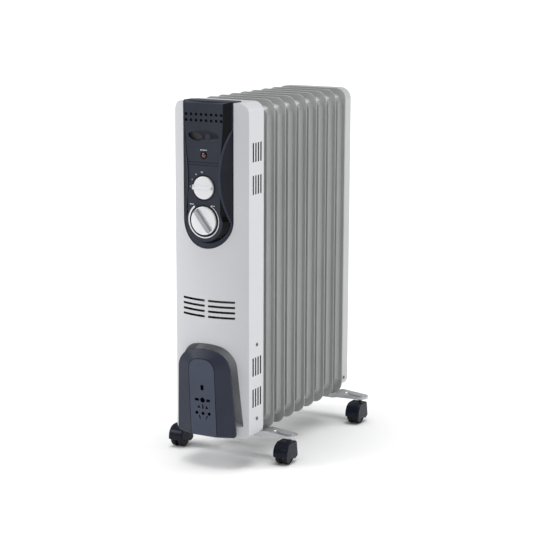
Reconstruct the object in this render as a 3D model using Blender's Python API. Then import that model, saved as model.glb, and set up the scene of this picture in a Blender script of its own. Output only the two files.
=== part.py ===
"""Nine-fin oil filled radiator heater on castors, modelled as an assembly.

Units are metres, +Z is up and the control panel faces -Y. The origin is on the floor,
under the centre of the whole heater. Distances along the heater are first given from the
middle plane of the first fin, and one empty, "heater", then centres everything on Y.
"""

import math

import bmesh
import bpy
from mathutils import Matrix, Vector

# --- Fins -----------------------------------------------------------------------------
FIN_COUNT = 9
FIN_PITCH = 0.0385
FIN_WIDTH = 0.144
FIN_BOTTOM = 0.0505
FIN_TOP = 0.631
FIN_CORNER = 0.020
FLANGE_THICKNESS = 0.002
FIN_WALL = 0.0011
SIDE_FLANGE = 0.0065          # flat rim outside the oil channel, at the sides
TOP_FLANGE = 0.0115
BOTTOM_FLANGE = 0.0135
CHANNEL_HALF_DEPTH = 0.010    # how far the oil channel stands off the fin's middle plane
CHANNEL_CORNER = 0.016
CHANNEL_SLOPE = 0.004         # width of the channel's sloping shoulder
HEADER_RADIUS = 0.017         # bosses that join fin to fin
LOWER_HEADER_HEIGHT = 0.0345  # above the fin's bottom edge
UPPER_HEADER_DROP = 0.036     # below the fin's top edge
HEADER_BORE = 0.0085
FIN_STUB = 0.004              # front ends of the headers, past the first fin's channel
REAR_STUB = 0.0085            # closed rear ends, past the last fin's channel

# --- Clearances -----------------------------------------------------------------------
GAP = 0.0003                  # between pieces that touch in the real heater
RUNNING_GAP = 0.0004          # round a shaft, pin or stem that turns
FREE_GAP = 0.0012             # round a piece that passes a hole without touching

# --- Front cover ----------------------------------------------------------------------
COVER_WIDTH = 0.144
COVER_TOP = 0.631
COVER_BOTTOM = 0.056
COVER_SIDE_DEPTH = 0.0495     # flat side face, from the bowed front to the rear rim
BOW_RADIUS = 0.140            # the front is a shallow arc in plan
COVER_WALL = 0.0013
COVER_TOP_CORNER = 0.018
COVER_BOTTOM_CORNER = 0.009
LOUVRE_ROWS = 4
LOUVRE_PITCH = 0.0092
LOUVRE_TOP_ROW = 0.2952
LOUVRE_HEIGHT = 0.0034
LOUVRE_INNER = 0.0032         # half the bar between the two groups
LOUVRE_OUTER = 0.0509
VENT_SLOTS = 4
VENT_PITCH = 0.0078
VENT_WIDTH = 0.0036
VENT_LENGTH = 0.0325
VENT_SETBACK = 0.0222         # middle of each vent group, ahead of the cover's rear rim
VENT_GROUP_CENTRES = (0.5480, 0.4932, 0.1794, 0.1243)

# --- Cord store -----------------------------------------------------------------------
POCKET_DEPTH = 0.0284         # below the crown of the bowed front
POCKET_BOTTOM = 0.0765
POCKET_HALF_WIDTH_LOW = 0.0650
POCKET_HALF_WIDTH_HIGH = 0.0515
POCKET_SHOULDER = 0.1870
POCKET_PEAK = 0.2205
PLATE_BOTTOM = 0.0600
PLATE_HALF_WIDTH_LOW = 0.0580
PLATE_HALF_WIDTH_HIGH = 0.0500
PLATE_SHOULDER = 0.1860
PLATE_PEAK = 0.2130
PLATE_PANEL_HALF_WIDTH = 0.0252
PLATE_PANEL_SHOULDER = 0.1790
PLATE_PANEL_PEAK = 0.1985
PLATE_STAND_OFF = 0.0034      # rim's face, ahead of the crown of the front
PLATE_RISE = 0.0100           # centre panel's face, ahead of the rim's face
PLATE_WALL = 0.0028
PLATE_CLEARANCE = 0.0008      # between the plate's foot and the cover below the pocket
PLATE_TILT = math.radians(3.9)
NECK_HALF_WIDTH = 0.0230
NECK_BOTTOM = 0.0920
NECK_TOP = 0.1680
NECK_WALL = 0.0028
PLUG_HOLE_RADIUS = 0.0030

# --- Control panel --------------------------------------------------------------------
DIAL_HEIGHT = 0.4335          # centre of the thermostat dial and of the panel's round end
PANEL_HALF_WIDTH = 0.0482
PANEL_RIM_SINK = 0.0015       # rim's face, below the bowed front
PANEL_WALL = 0.0022
PANEL_TOP_RISE = 0.0020       # the panel's roof, above the cover's top
PANEL_ROOF_REAR = 0.0350      # rear edge of the roof, ahead of the first fin
PANEL_SKIRT = 0.0160          # depth of the rim's skirt, behind the crown of the front
PLATFORM_STAND_OFF = 0.0060   # raised face, ahead of the crown of the front
PLATFORM_FACE_HALF_WIDTH = 0.0320
PLATFORM_ROOT_HALF_WIDTH = 0.0430
PLATFORM_FACE_RADIUS = 0.0360
VENT_HOLE_RADIUS = 0.0024
VENT_HOLE_PITCH = 0.0101
VENT_HOLE_COLUMNS = 8
VENT_HOLE_ROWS = (0.6113, 0.6014)
GRIP_HEIGHT = 0.5760          # lens-shaped finger recess
GRIP_HALF_WIDTH = 0.0320
GRIP_HALF_HEIGHT = 0.0105
GRIP_DEPTH = 0.0012
LAMP_HEIGHT = 0.5435
LAMP_RADIUS = 0.0042
SELECTOR_HEIGHT = 0.4890
SELECTOR_RADIUS = 0.0193
DIAL_RADIUS = 0.0240
WELL_MARGIN = 0.0026          # dark ring round each knob
WELL_DEPTH = 0.0010
KNOB_RIM = 0.0030
SELECTOR_RIDGE = 0.0060       # ridge above the selector's rim
DIAL_BAR = 0.0055             # grip bar above the dial's rim
DIAL_REST_ANGLE = 52          # degrees, the bar's turn at rest
SHAFT_RADIUS = 0.0030
INSERT_HEIGHT = 0.5060        # centre of the arc that bounds each side insert
INSERT_RADIUS = 0.2150
INSERT_INNER = 0.0300         # innermost reach of that arc
INSERT_MARGIN = 0.0010
INSERT_THICKNESS = 0.0018
INSERT_GAP = 0.0005           # in front of the panel, so that the slope keeps 0.3 mm

# --- Inside the cover -----------------------------------------------------------------
CHASSIS_SETBACK = 0.0460      # chassis face, ahead of the first fin
CHASSIS_WALL = 0.0015
CHASSIS_BOTTOM = 0.3950
CHASSIS_TOP = 0.5200
CHASSIS_FLANGE = 0.0120
CONTROL_BODY = 0.0320
CONTROL_BODY_DEPTH = 0.0220
ELEMENT_RADIUS = 0.0055
ELEMENT_FLANGE_RADIUS = 0.0165
ELEMENT_FLANGE_THICKNESS = 0.0050
GASKET_THICKNESS = 0.0015
TERMINAL_LENGTH = 0.0100
TERMINAL_RADIUS = 0.0016
CUTOUT_HEIGHT = 0.2450
CUTOUT_RADIUS = 0.0090
CUTOUT_DEPTH = 0.0080
BLOCK_SIZE = (0.0440, 0.0140, 0.0180)
BLOCK_HEIGHT = 0.2350
BUSH_PLACE = (-0.0400, 0.1050)
BUSH_RADIUS = 0.0055
BUSH_FLANGE_RADIUS = 0.0085
BUSH_BORE = 0.0036

# --- Rear cover -----------------------------------------------------------------------
END_COVER_DEPTH = 0.0315
END_COVER_BOTTOM = 0.0640
END_COVER_EDGE = 0.0120

# --- Feet -----------------------------------------------------------------------------
FRONT_FOOT = 0.0318           # middle of the front foot, behind the first fin
REAR_FOOT_PAST_LAST_FIN = 0.0088
STEM_SPREAD = 0.1071          # half the track, stem to centre line
FOOT_WIDTH = 0.0300
FOOT_END_WIDTH = 0.0298
FOOT_MID_TOP = 0.0499
FOOT_KNEE_TOP = 0.0520
FOOT_END_TOP = 0.0480
FOOT_MID_HALF = 0.0560
FOOT_KNEE = 0.0640
FOOT_WALL = 0.0020
FOOT_SKIRT = 0.0095
FOOT_END_SKIRT = 0.0042
ROD_RADIUS = 0.0025
ROD_REACH = 0.0120            # thread below the foot plate
NUT_HEIGHT = 0.0050
NUT_RADIUS = 0.0055
WING_SPAN = 0.0130

# --- Castors --------------------------------------------------------------------------
WHEEL_RADIUS = 0.0150
WHEEL_WIDTH = 0.0088
WHEEL_INNER = 0.0026          # inner face of each wheel, from the castor's middle plane
HOOD_HALF_WIDTH = 0.0140
HOOD_WALL = 0.0018
HOOD_TOP = 0.0390
HOOD_FRONT = 0.0175           # ahead of the axle
HOOD_BACK = 0.0250            # behind the axle
WHEEL_ROOM = 0.0009
TRAIL = 0.0190                # stem to axle
AXLE_RADIUS = 0.0020
PIN_RADIUS = 0.0027           # the stem's pin, in the hood and through the foot
PIN_SOCKET = 0.0090
STEM_RADIUS = 0.0048          # the stem between hood and foot

# --- Screws ---------------------------------------------------------------------------
SCREW_HEAD_RADIUS = 0.0032
SCREW_HEAD_HEIGHT = 0.0012
SCREW_SHANK_RADIUS = 0.0016
SCREW_LENGTH = 0.0070
COVER_SCREW_HEIGHTS = (0.2174, 0.0864)
END_SCREW_HEIGHT = 0.0800

# --- Worked out from the sizes above --------------------------------------------------
FIN_HALF = FIN_WIDTH / 2
COVER_HALF = COVER_WIDTH / 2
COVER_RIM = -(FLANGE_THICKNESS / 2 + GAP)
COVER_CREASE = COVER_RIM - COVER_SIDE_DEPTH
BOW_CENTRE = COVER_CREASE + math.sqrt(BOW_RADIUS**2 - COVER_HALF**2)
CROWN = BOW_CENTRE - BOW_RADIUS
LOWER_HEADER = FIN_BOTTOM + LOWER_HEADER_HEIGHT
UPPER_HEADER = FIN_TOP - UPPER_HEADER_DROP
LAST_FIN = (FIN_COUNT - 1) * FIN_PITCH
END_COVER_RIM = LAST_FIN + FLANGE_THICKNESS / 2 + GAP
END_COVER_BACK = END_COVER_RIM + END_COVER_DEPTH
POCKET_FLOOR = CROWN + POCKET_DEPTH
PLATFORM_FACE = CROWN - PLATFORM_STAND_OFF
PLATE_RIM_FACE = CROWN - PLATE_STAND_OFF
PLATE_PIVOT = PLATE_BOTTOM + (PLATE_PEAK - PLATE_BOTTOM) * 0.35
REAR_FOOT = LAST_FIN + REAR_FOOT_PAST_LAST_FIN
PLATE_FRONT = (PLATE_RIM_FACE - PLATE_RISE * math.cos(PLATE_TILT)
               - (PLATE_PANEL_PEAK - PLATE_PIVOT) * math.sin(PLATE_TILT))
CENTRE_SHIFT = -(PLATE_FRONT + END_COVER_BACK) / 2


# --- Materials ------------------------------------------------------------------------
def material(name, colour, roughness, metallic=0.0):
    made = bpy.data.materials.new(name)
    made.use_nodes = True
    shader = made.node_tree.nodes["Principled BSDF"]
    shader.inputs["Base Color"].default_value = (*colour, 1)
    shader.inputs["Roughness"].default_value = roughness
    shader.inputs["Metallic"].default_value = metallic
    made.diffuse_color = (*colour, 1)
    return made


def clear_scene():
    for item in list(bpy.data.objects):
        bpy.data.objects.remove(item, do_unlink=True)


# --- Outlines: lists of (across, up) points, counter-clockwise --------------------------
def arc(centre, radius, start, end, steps):
    """Points on an arc, from start to end degrees, both ends included."""
    points = []
    for i in range(steps + 1):
        angle = math.radians(start + (end - start) * i / steps)
        points.append((centre[0] + radius * math.cos(angle), centre[1] + radius * math.sin(angle)))
    return points


def rounded_panel(half_width, bottom, top, bottom_corner, top_corner, steps=3):
    """A tall panel with round corners, seen from the front."""
    low, high = bottom + bottom_corner, top - top_corner
    inner_low, inner_high = half_width - bottom_corner, half_width - top_corner
    return (arc((inner_low, low), bottom_corner, -90, 0, steps)
            + arc((inner_high, high), top_corner, 0, 90, steps)
            + arc((-inner_high, high), top_corner, 90, 180, steps)
            + arc((-inner_low, low), bottom_corner, 180, 270, steps))


def arch(half_low, half_high, bottom, shoulder, peak, corner=0.0, steps=10):
    """A tapering door shape whose top is a flattened arc from shoulder to shoulder."""
    points = []
    if corner:
        points += arc((half_low - corner, bottom + corner), corner, -90, 0, 3)
    else:
        points.append((half_low, bottom))
    for i in range(steps + 1):
        angle = math.pi * i / steps
        across = math.copysign(abs(math.cos(angle)) ** 0.8, math.cos(angle)) * half_high
        points.append((across, shoulder + (peak - shoulder) * math.sin(angle) ** 0.9))
    if corner:
        points += arc((-half_low + corner, bottom + corner), corner, 180, 270, 3)
    else:
        points.append((-half_low, bottom))
    return points


def tongue(half_width, centre_height, radius, top, steps=12):
    """A strip with a square top and a round lower end."""
    return (arc((0, centre_height), radius, -180, 0, steps)
            + [(half_width, centre_height + radius * 0.35), (half_width, top),
               (-half_width, top), (-half_width, centre_height + radius * 0.35)])


def ring(radius, centre=(0, 0), steps=16):
    return arc(centre, radius, 0, 360 - 360 / steps, steps - 1)


# --- Solids ---------------------------------------------------------------------------
def add_loop(mesh, outline, y):
    return [mesh.verts.new((x, y, z)) for x, z in outline]


def loft(mesh, sections):
    """A closed solid through sections of (outline, y), ordered from the front to the back."""
    loops = [add_loop(mesh, outline, y) for outline, y in sections]
    count = len(loops[0])
    for front, back in zip(loops, loops[1:]):
        for i in range(count):
            j = (i + 1) % count
            mesh.faces.new((front[i], front[j], back[j], back[i]))
    mesh.faces.new(loops[0])
    mesh.faces.new(list(reversed(loops[-1])))
    bmesh.ops.recalc_face_normals(mesh, faces=mesh.faces)
    return mesh


def prism(outline, front, back):
    """An outline seen from the front, extruded from the front plane to the back plane."""
    return loft(bmesh.new(), [(outline, front), (outline, back)])


def turned(solid, rotation, place=(0, 0, 0)):
    bmesh.ops.transform(solid, matrix=Matrix.Translation(place) @ rotation, verts=solid.verts)
    return solid


def along_x(outline, low, high):
    """An outline of (y, z) points, extruded from low to high along X."""
    solid = prism(outline, -high, -low)
    return turned(solid, Matrix.Rotation(math.radians(90), 4, "Z"))


def along_z(outline, low, high):
    """An outline of (x, y) points, extruded from low to high along Z."""
    solid = prism([(x, -y) for x, y in outline], low, high)
    return turned(solid, Matrix.Rotation(math.radians(90), 4, "X"))


def facing_out(solid):
    bmesh.ops.recalc_face_normals(solid, faces=solid.faces)
    return solid


def box(low, high):
    outline = [(low[0], low[2]), (high[0], low[2]), (high[0], high[2]), (low[0], high[2])]
    return prism(outline, low[1], high[1])


def revolve(profile, steps=24):
    """A profile of (radius, height) points that starts and ends on the Z axis, turned round it."""
    solid = bmesh.new()
    points = [solid.verts.new((r, 0, z)) for r, z in profile]
    edges = [solid.edges.new(pair) for pair in zip(points, points[1:])]
    bmesh.ops.spin(solid, geom=points + edges, cent=(0, 0, 0), axis=(0, 0, 1),
                   angle=math.tau, steps=steps, use_merge=True)
    bmesh.ops.remove_doubles(solid, verts=solid.verts, dist=1e-6)
    return facing_out(solid)


AXIS_TO_FRONT = Matrix.Rotation(math.radians(90), 4, "X")
AXIS_TO_RIGHT = Matrix.Rotation(math.radians(90), 4, "Y")
AXIS_TO_LEFT = Matrix.Rotation(math.radians(-90), 4, "Y")


def bring(name, solids):
    """A mesh object that holds each solid as it stands."""
    data = bpy.data.meshes.new(name)
    whole = bmesh.new()
    for solid in solids:
        part = bpy.data.meshes.new("part")
        facing_out(solid).to_mesh(part)
        whole.from_mesh(part)
        bpy.data.meshes.remove(part)
        solid.free()
    whole.to_mesh(data)
    whole.free()
    made = bpy.data.objects.new(name, data)
    bpy.context.scene.collection.objects.link(made)
    return made


def combine(target, operation, solids, label):
    """One Boolean for a group of solids that don't touch each other."""
    helper = bring(f"{target.name}_{label}", solids)
    helper.hide_render = True
    helper.display_type = "WIRE"
    helper.parent = target.parent
    helper.location = target.location
    helper.rotation_euler = target.rotation_euler
    step = target.modifiers.new(label, "BOOLEAN")
    step.operation = operation
    step.solver = "EXACT"
    step.object = helper


def piece(name, solid, finish, parent, place=(0, 0, 0), smooth=35, turn=None):
    made = bring(name, [solid])
    made.data.materials.append(finish)
    made.parent = parent
    made.location = place
    if turn:
        made.rotation_euler = turn
    made.data.shade_smooth()
    made.data.set_sharp_from_angle(angle=math.radians(smooth))
    return made


def empty(name, place, parent=None):
    made = bpy.data.objects.new(name, None)
    bpy.context.scene.collection.objects.link(made)
    made.parent = parent
    made.location = place
    return made


# --- Fins -----------------------------------------------------------------------------
def channel_outline(inset):
    return rounded_panel(FIN_HALF - SIDE_FLANGE - inset, FIN_BOTTOM + BOTTOM_FLANGE + inset,
                         FIN_TOP - TOP_FLANGE - inset, CHANNEL_CORNER, CHANNEL_CORNER)


def channel_block(wall):
    """The oil channel's outside, or with a wall's thickness the oil space inside it."""
    face = CHANNEL_HALF_DEPTH - wall
    narrow, wide = channel_outline(CHANNEL_SLOPE + wall * 0.6), channel_outline(wall)
    return loft(bmesh.new(), [(narrow, -face), (wide, 0), (narrow, face)])


def make_fin(index, paint, parent):
    """Flat welded rim round a hollow oil channel, with a header boss at its top and bottom."""
    half = FLANGE_THICKNESS / 2
    rim = rounded_panel(FIN_HALF, FIN_BOTTOM, FIN_TOP, FIN_CORNER, FIN_CORNER)
    fin = piece(f"fin_{index + 1}", prism(rim, -half, half), paint, parent,
                (0, index * FIN_PITCH, 0))
    combine(fin, "UNION", [channel_block(0)], "channel")
    first, last = index == 0, index == FIN_COUNT - 1
    meet = FIN_PITCH / 2 - GAP / 2
    front = -(CHANNEL_HALF_DEPTH + FIN_STUB if first else meet)
    back = CHANNEL_HALF_DEPTH + REAR_STUB if last else meet
    combine(fin, "UNION", [prism(ring(HEADER_RADIUS, (0, z), 12), front, back)
                           for z in (LOWER_HEADER, UPPER_HEADER)], "headers")
    # The first fin's upper boss and both of the last fin's rear bosses are closed.
    past = 0.001
    ends = [(LOWER_HEADER, front - past, 0 if last else back + past),
            (UPPER_HEADER, 0 if first else front - past, 0 if last else back + past)]
    combine(fin, "DIFFERENCE", [channel_block(FIN_WALL)], "oil_space")
    combine(fin, "DIFFERENCE", [prism(ring(HEADER_BORE, (0, z), 8), low, high)
                                for z, low, high in ends], "bores")
    return fin


# --- Front cover ----------------------------------------------------------------------
def bowed_plan(half, radius, rear, steps=10):
    """The cover in plan, (x, y): an arc at the front and straight sides back to the rear."""
    reach = math.degrees(math.asin(half / radius))
    front = arc((0, BOW_CENTRE), radius, 270 - reach, 270 + reach, steps)
    return front + [(half, rear), (-half, rear)]


def cover_block(inset, rear):
    """The cover's outside, or with an inset its hollow, as the meeting of plan and front view."""
    plan = along_z(bowed_plan(COVER_HALF - inset, BOW_RADIUS - inset, rear),
                   COVER_BOTTOM - 0.02, COVER_TOP + 0.02)
    return plan


def pocket_outline(grow):
    return arch(POCKET_HALF_WIDTH_LOW + grow, POCKET_HALF_WIDTH_HIGH + grow,
                POCKET_BOTTOM - grow, POCKET_SHOULDER, POCKET_PEAK + grow)


def panel_outline(grow):
    return tongue(PANEL_HALF_WIDTH + grow, DIAL_HEIGHT, PANEL_HALF_WIDTH + grow,
                  COVER_TOP + PANEL_TOP_RISE + grow)


def louvre_cuts():
    cuts = []
    for row in range(LOUVRE_ROWS):
        middle = LOUVRE_TOP_ROW - row * LOUVRE_PITCH
        for side in (-1, 1):
            ends = sorted((side * LOUVRE_INNER, side * LOUVRE_OUTER))
            cuts.append(box((ends[0], CROWN - 0.01, middle - LOUVRE_HEIGHT / 2),
                            (ends[1], CROWN + 0.02, middle + LOUVRE_HEIGHT / 2)))
    return cuts


def vent_cuts():
    cuts = []
    middle = COVER_RIM - VENT_SETBACK
    for height in VENT_GROUP_CENTRES:
        for i in range(VENT_SLOTS):
            y = middle + (i - (VENT_SLOTS - 1) / 2) * VENT_PITCH
            for side in (-1, 1):
                ends = sorted((side * (COVER_HALF - 0.01), side * (COVER_HALF + 0.01)))
                cuts.append(box((ends[0], y - VENT_WIDTH / 2, height - VENT_LENGTH / 2),
                                (ends[1], y + VENT_WIDTH / 2, height + VENT_LENGTH / 2)))
    return cuts


def side_drills(depth_place, heights, half):
    reach = 0.01
    cuts = []
    for height in heights:
        for side in (-1, 1):
            cut = revolve([(0, -reach), (SCREW_SHANK_RADIUS + GAP, -reach),
                           (SCREW_SHANK_RADIUS + GAP, reach), (0, reach)], 12)
            cuts.append(turned(cut, AXIS_TO_RIGHT, (side * half, depth_place, height)))
    return cuts


def make_front_cover(paint, parent):
    cover = piece("front_cover", cover_block(0, COVER_RIM), paint, parent)
    combine(cover, "INTERSECT", [prism(
        rounded_panel(COVER_HALF + 0.0001, COVER_BOTTOM, COVER_TOP, COVER_BOTTOM_CORNER,
                      COVER_TOP_CORNER, 5), CROWN - 0.02, COVER_RIM + 0.01)], "front_view")
    hollow = bring("cover_hollow", [cover_block(COVER_WALL, COVER_RIM + 0.01)])
    hollow.hide_render = True
    hollow.display_type = "WIRE"
    hollow.parent = parent
    combine(hollow, "INTERSECT", [prism(
        rounded_panel(COVER_HALF, COVER_BOTTOM + COVER_WALL, COVER_TOP - COVER_WALL,
                      COVER_BOTTOM_CORNER, COVER_TOP_CORNER - COVER_WALL, 5),
        CROWN - 0.02, COVER_RIM + 0.02)], "inside_view")
    combine(hollow, "DIFFERENCE", [prism(pocket_outline(COVER_WALL), CROWN - 0.03,
                                         POCKET_FLOOR + COVER_WALL)], "pocket_wall")
    hollowing = cover.modifiers.new("hollow", "BOOLEAN")
    hollowing.operation = "DIFFERENCE"
    hollowing.object = hollow
    combine(cover, "DIFFERENCE", [prism(pocket_outline(0), CROWN - 0.03, POCKET_FLOOR)], "pocket")
    combine(cover, "DIFFERENCE", [prism(panel_outline(GAP * 2), CROWN - 0.03,
                                        -PANEL_ROOF_REAR + GAP * 2)], "panel_opening")
    combine(cover, "DIFFERENCE", louvre_cuts() + vent_cuts(), "vents")
    bush = prism(ring(BUSH_RADIUS + GAP, BUSH_PLACE, 16), POCKET_FLOOR - 0.005,
                 POCKET_FLOOR + 0.005)
    combine(cover, "DIFFERENCE", side_drills(COVER_RIM - VENT_SETBACK, COVER_SCREW_HEIGHTS,
                                             COVER_HALF) + [bush], "drillings")
    return cover


# --- Cord store plate -------------------------------------------------------------------
def plug_holes():
    """Round and flat holes where the pins of different plugs can be parked, (x, z) and outline."""
    def bar(x, z, half_x, half_z, turn=0.0):
        corners = ((-half_x, -half_z), (half_x, -half_z), (half_x, half_z), (-half_x, half_z))
        c, s = math.cos(turn), math.sin(turn)
        return [(x + a * c - b * s, z + a * s + b * c) for a, b in corners]

    def wedge(x, z, size):
        return ring(size, (x, z), 3)

    tall = 0.0046
    return [bar(0, 0.1463, 0.0030, tall), bar(-0.0112, 0.1240, 0.0040, 0.0024),
            bar(0.0112, 0.1240, 0.0040, 0.0024), ring(0.0046, (0, 0.1240), 12),
            wedge(-0.0078, 0.1109, 0.0036), wedge(0.0078, 0.1109, 0.0036),
            bar(0, 0.1124, 0.0013, 0.0042),
            ring(PLUG_HOLE_RADIUS, (-0.0124, 0.1002), 12),
            ring(PLUG_HOLE_RADIUS, (0.0124, 0.1002), 12),
            bar(-0.0068, 0.0965 - 0.0035, 0.0011, 0.0034, math.radians(25)),
            bar(0.0068, 0.0965 - 0.0035, 0.0011, 0.0034, math.radians(-25)),
            ring(PLUG_HOLE_RADIUS, (0, 0.1000), 12)]


def plate_sections(grow, step_back):
    rim = arch(PLATE_HALF_WIDTH_LOW + grow, PLATE_HALF_WIDTH_HIGH + grow, PLATE_BOTTOM - grow,
               PLATE_SHOULDER, PLATE_PEAK + grow, 0.006)
    face = arch(PLATE_PANEL_HALF_WIDTH + grow, PLATE_PANEL_HALF_WIDTH + grow,
                PLATE_BOTTOM - grow, PLATE_PANEL_SHOULDER, PLATE_PANEL_PEAK + grow, 0.0005)
    return [(face, -PLATE_RISE + step_back), (rim, step_back)]


def make_plate(plastic, parent):
    """Arched plate that leans forward at the top, with a hollow neck back to the pocket floor."""
    lean = (Matrix.Translation((0, PLATE_RIM_FACE, PLATE_PIVOT))
            @ Matrix.Rotation(PLATE_TILT, 4, "X") @ Matrix.Translation((0, 0, -PLATE_PIVOT)))
    front = plate_sections(0, 0)
    blank = loft(bmesh.new(), front + [(front[1][0], PLATE_WALL)])
    plate = piece("cord_store_plate", turned(blank, lean), plastic, parent)
    inside = plate_sections(-PLATE_WALL, PLATE_WALL)
    inside += [(inside[1][0], PLATE_WALL * 2)]
    combine(plate, "DIFFERENCE", [turned(loft(bmesh.new(), inside), lean)], "back")
    neck = rounded_panel(NECK_HALF_WIDTH, NECK_BOTTOM, NECK_TOP, 0.008, 0.012, 3)
    combine(plate, "UNION", [turned(prism(neck, PLATE_WALL * 0.6 - PLATE_RISE, 0.06), lean)],
            "neck")
    core = rounded_panel(NECK_HALF_WIDTH - NECK_WALL, NECK_BOTTOM + NECK_WALL,
                         NECK_TOP - NECK_WALL, 0.006, 0.010, 3)
    combine(plate, "DIFFERENCE", [turned(prism(core, PLATE_WALL - PLATE_RISE, 0.07), lean)],
            "neck_core")
    combine(plate, "DIFFERENCE", [box((-0.1, POCKET_FLOOR - GAP, 0), (0.1, 0.05, 0.3))], "foot")
    sill = along_z(bowed_plan(COVER_HALF, BOW_RADIUS, 0), 0.02, POCKET_BOTTOM + 0.003)
    combine(plate, "DIFFERENCE", [turned(sill, Matrix.Identity(4), (0, -PLATE_CLEARANCE, 0))],
            "sill_clearance")
    holes = [prism(outline, CROWN - 0.04, CROWN + 0.002) for outline in plug_holes()]
    combine(plate, "DIFFERENCE", holes, "plug_holes")
    return plate


# --- Control panel ----------------------------------------------------------------------
def platform_sections(grow, face_y, root_y):
    """Raised part of the panel: a face, and a wider root where its flanks meet the rim."""
    top = COVER_TOP + PANEL_TOP_RISE + grow
    face = tongue(PLATFORM_FACE_HALF_WIDTH + grow, DIAL_HEIGHT, PLATFORM_FACE_RADIUS + grow,
                  top - 0.003)
    root = tongue(PLATFORM_ROOT_HALF_WIDTH + grow, DIAL_HEIGHT, PLATFORM_ROOT_HALF_WIDTH + grow,
                  top)
    return [(face, face_y), (root, root_y)]


def make_control_panel(plastic, parent):
    """Hooded panel: bowed rim, raised platform and a roof that laps over the cover's top."""
    front, back = CROWN - 0.03, -PANEL_ROOF_REAR
    panel = piece("control_panel", rim_block(0), plastic, parent)
    combine(panel, "INTERSECT", [prism(panel_outline(0), front, back)], "outline")
    combine(panel, "UNION", [platform_block(0)], "platform")
    # The hollow is the same block, one wall further in and open at the rear.
    inside = bring("panel_inside", [rim_block(-PANEL_WALL)])
    inside.hide_render = True
    inside.display_type = "WIRE"
    inside.parent = parent
    combine(inside, "INTERSECT", [prism(panel_outline(-PANEL_WALL), front, back + 0.01)],
            "outline")
    inner = platform_sections(-PANEL_WALL, PLATFORM_FACE + PANEL_WALL,
                              platform_root() + PANEL_WALL)
    inner.append((inner[1][0], platform_root() + PANEL_WALL + 0.004))
    combine(inside, "UNION", [loft(bmesh.new(), inner)], "platform")
    hollowing = panel.modifiers.new("hollow", "BOOLEAN")
    hollowing.operation = "DIFFERENCE"
    hollowing.object = inside
    combine(panel, "DIFFERENCE", panel_drillings(), "drillings")
    combine(panel, "DIFFERENCE", panel_sinks(), "sinks")
    # Behind the rim only a short skirt is left, so that the cover's inside stays free.
    combine(panel, "DIFFERENCE", [box((-0.08, CROWN + PANEL_SKIRT, DIAL_HEIGHT - 0.08),
                                      (0.08, 0.0, COVER_TOP - COVER_TOP_CORNER))], "trim")
    return panel


def panel_drillings():
    """Vent holes, the lamp's hole and the two shaft holes."""
    cuts = []
    for height in VENT_HOLE_ROWS:
        for i in range(VENT_HOLE_COLUMNS):
            x = (i - (VENT_HOLE_COLUMNS - 1) / 2) * VENT_HOLE_PITCH
            cuts.append(prism(ring(VENT_HOLE_RADIUS, (x, height), 8),
                              PLATFORM_FACE - 0.01, CROWN + 0.012))
    for radius, height in ((LAMP_RADIUS, LAMP_HEIGHT), (SHAFT_RADIUS, SELECTOR_HEIGHT),
                           (SHAFT_RADIUS, DIAL_HEIGHT)):
        cuts.append(prism(ring(radius + RUNNING_GAP, (0, height), 16),
                          PLATFORM_FACE - 0.01, CROWN + 0.012))
    return cuts


def panel_sinks():
    """Shallow recesses in the platform's face: the finger grip and a well round each knob."""
    lens = [(GRIP_HALF_WIDTH * math.cos(a), GRIP_HEIGHT
             + GRIP_HALF_HEIGHT * math.copysign(abs(math.sin(a)) ** 1.4, math.sin(a)))
            for a in (math.tau * i / 24 for i in range(24))]
    front = PLATFORM_FACE - 0.01
    return [prism(lens, front, PLATFORM_FACE + GRIP_DEPTH),
            prism(ring(SELECTOR_RADIUS + WELL_MARGIN * 0.6, (0, SELECTOR_HEIGHT), 32), front,
                  PLATFORM_FACE + WELL_DEPTH),
            prism(ring(DIAL_RADIUS + WELL_MARGIN, (0, DIAL_HEIGHT), 32), front,
                  PLATFORM_FACE + WELL_DEPTH)]


def rim_block(shift):
    """The panel's bowed rim carried back through the cover, moved forward by a shift."""
    plan = along_z(bowed_plan(PANEL_HALF_WIDTH + 0.01, BOW_RADIUS - PANEL_RIM_SINK,
                              -PANEL_ROOF_REAR), DIAL_HEIGHT - PANEL_HALF_WIDTH - 0.02,
                   COVER_TOP + 0.02)
    return turned(plan, Matrix.Identity(4), (0, -shift, 0))


def platform_root():
    return BOW_CENTRE - math.sqrt((BOW_RADIUS - PANEL_RIM_SINK) ** 2
                                  - PLATFORM_ROOT_HALF_WIDTH**2)


def platform_block(shift):
    sections = platform_sections(0, PLATFORM_FACE - shift, platform_root() - shift)
    return loft(bmesh.new(), sections + [(sections[1][0], platform_root() + 0.002 - shift)])


def make_side_insert(side, name, plastic, parent):
    """Matte inlay on the flank: its inner edge is an arc, its outer edge follows the panel's."""
    front, back = CROWN - 0.03, -PANEL_ROOF_REAR
    insert = piece(name, rim_block(INSERT_GAP + INSERT_THICKNESS), plastic, parent)
    combine(insert, "UNION", [platform_block(INSERT_GAP + INSERT_THICKNESS)], "slope")
    combine(insert, "INTERSECT", [prism(panel_outline(-INSERT_MARGIN), front, back)], "outline")
    centre = (side * (INSERT_INNER + INSERT_RADIUS), INSERT_HEIGHT)
    combine(insert, "INTERSECT", [prism(ring(INSERT_RADIUS, centre, 96), front, back)], "edge")
    combine(insert, "DIFFERENCE", [rim_block(INSERT_GAP)], "back")
    combine(insert, "DIFFERENCE", [platform_block(INSERT_GAP)], "slope_back")
    return insert


def knob_blank(radius, rim, socket_depth):
    """A low drum that faces +Z, with a socket in its back for the shaft."""
    bore = SHAFT_RADIUS + GAP
    return revolve([(0, socket_depth), (bore, socket_depth), (bore, 0), (radius, 0),
                    (radius, rim * 0.6), (radius - 0.0012, rim), (0, rim + 0.0006)], 32)


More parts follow.
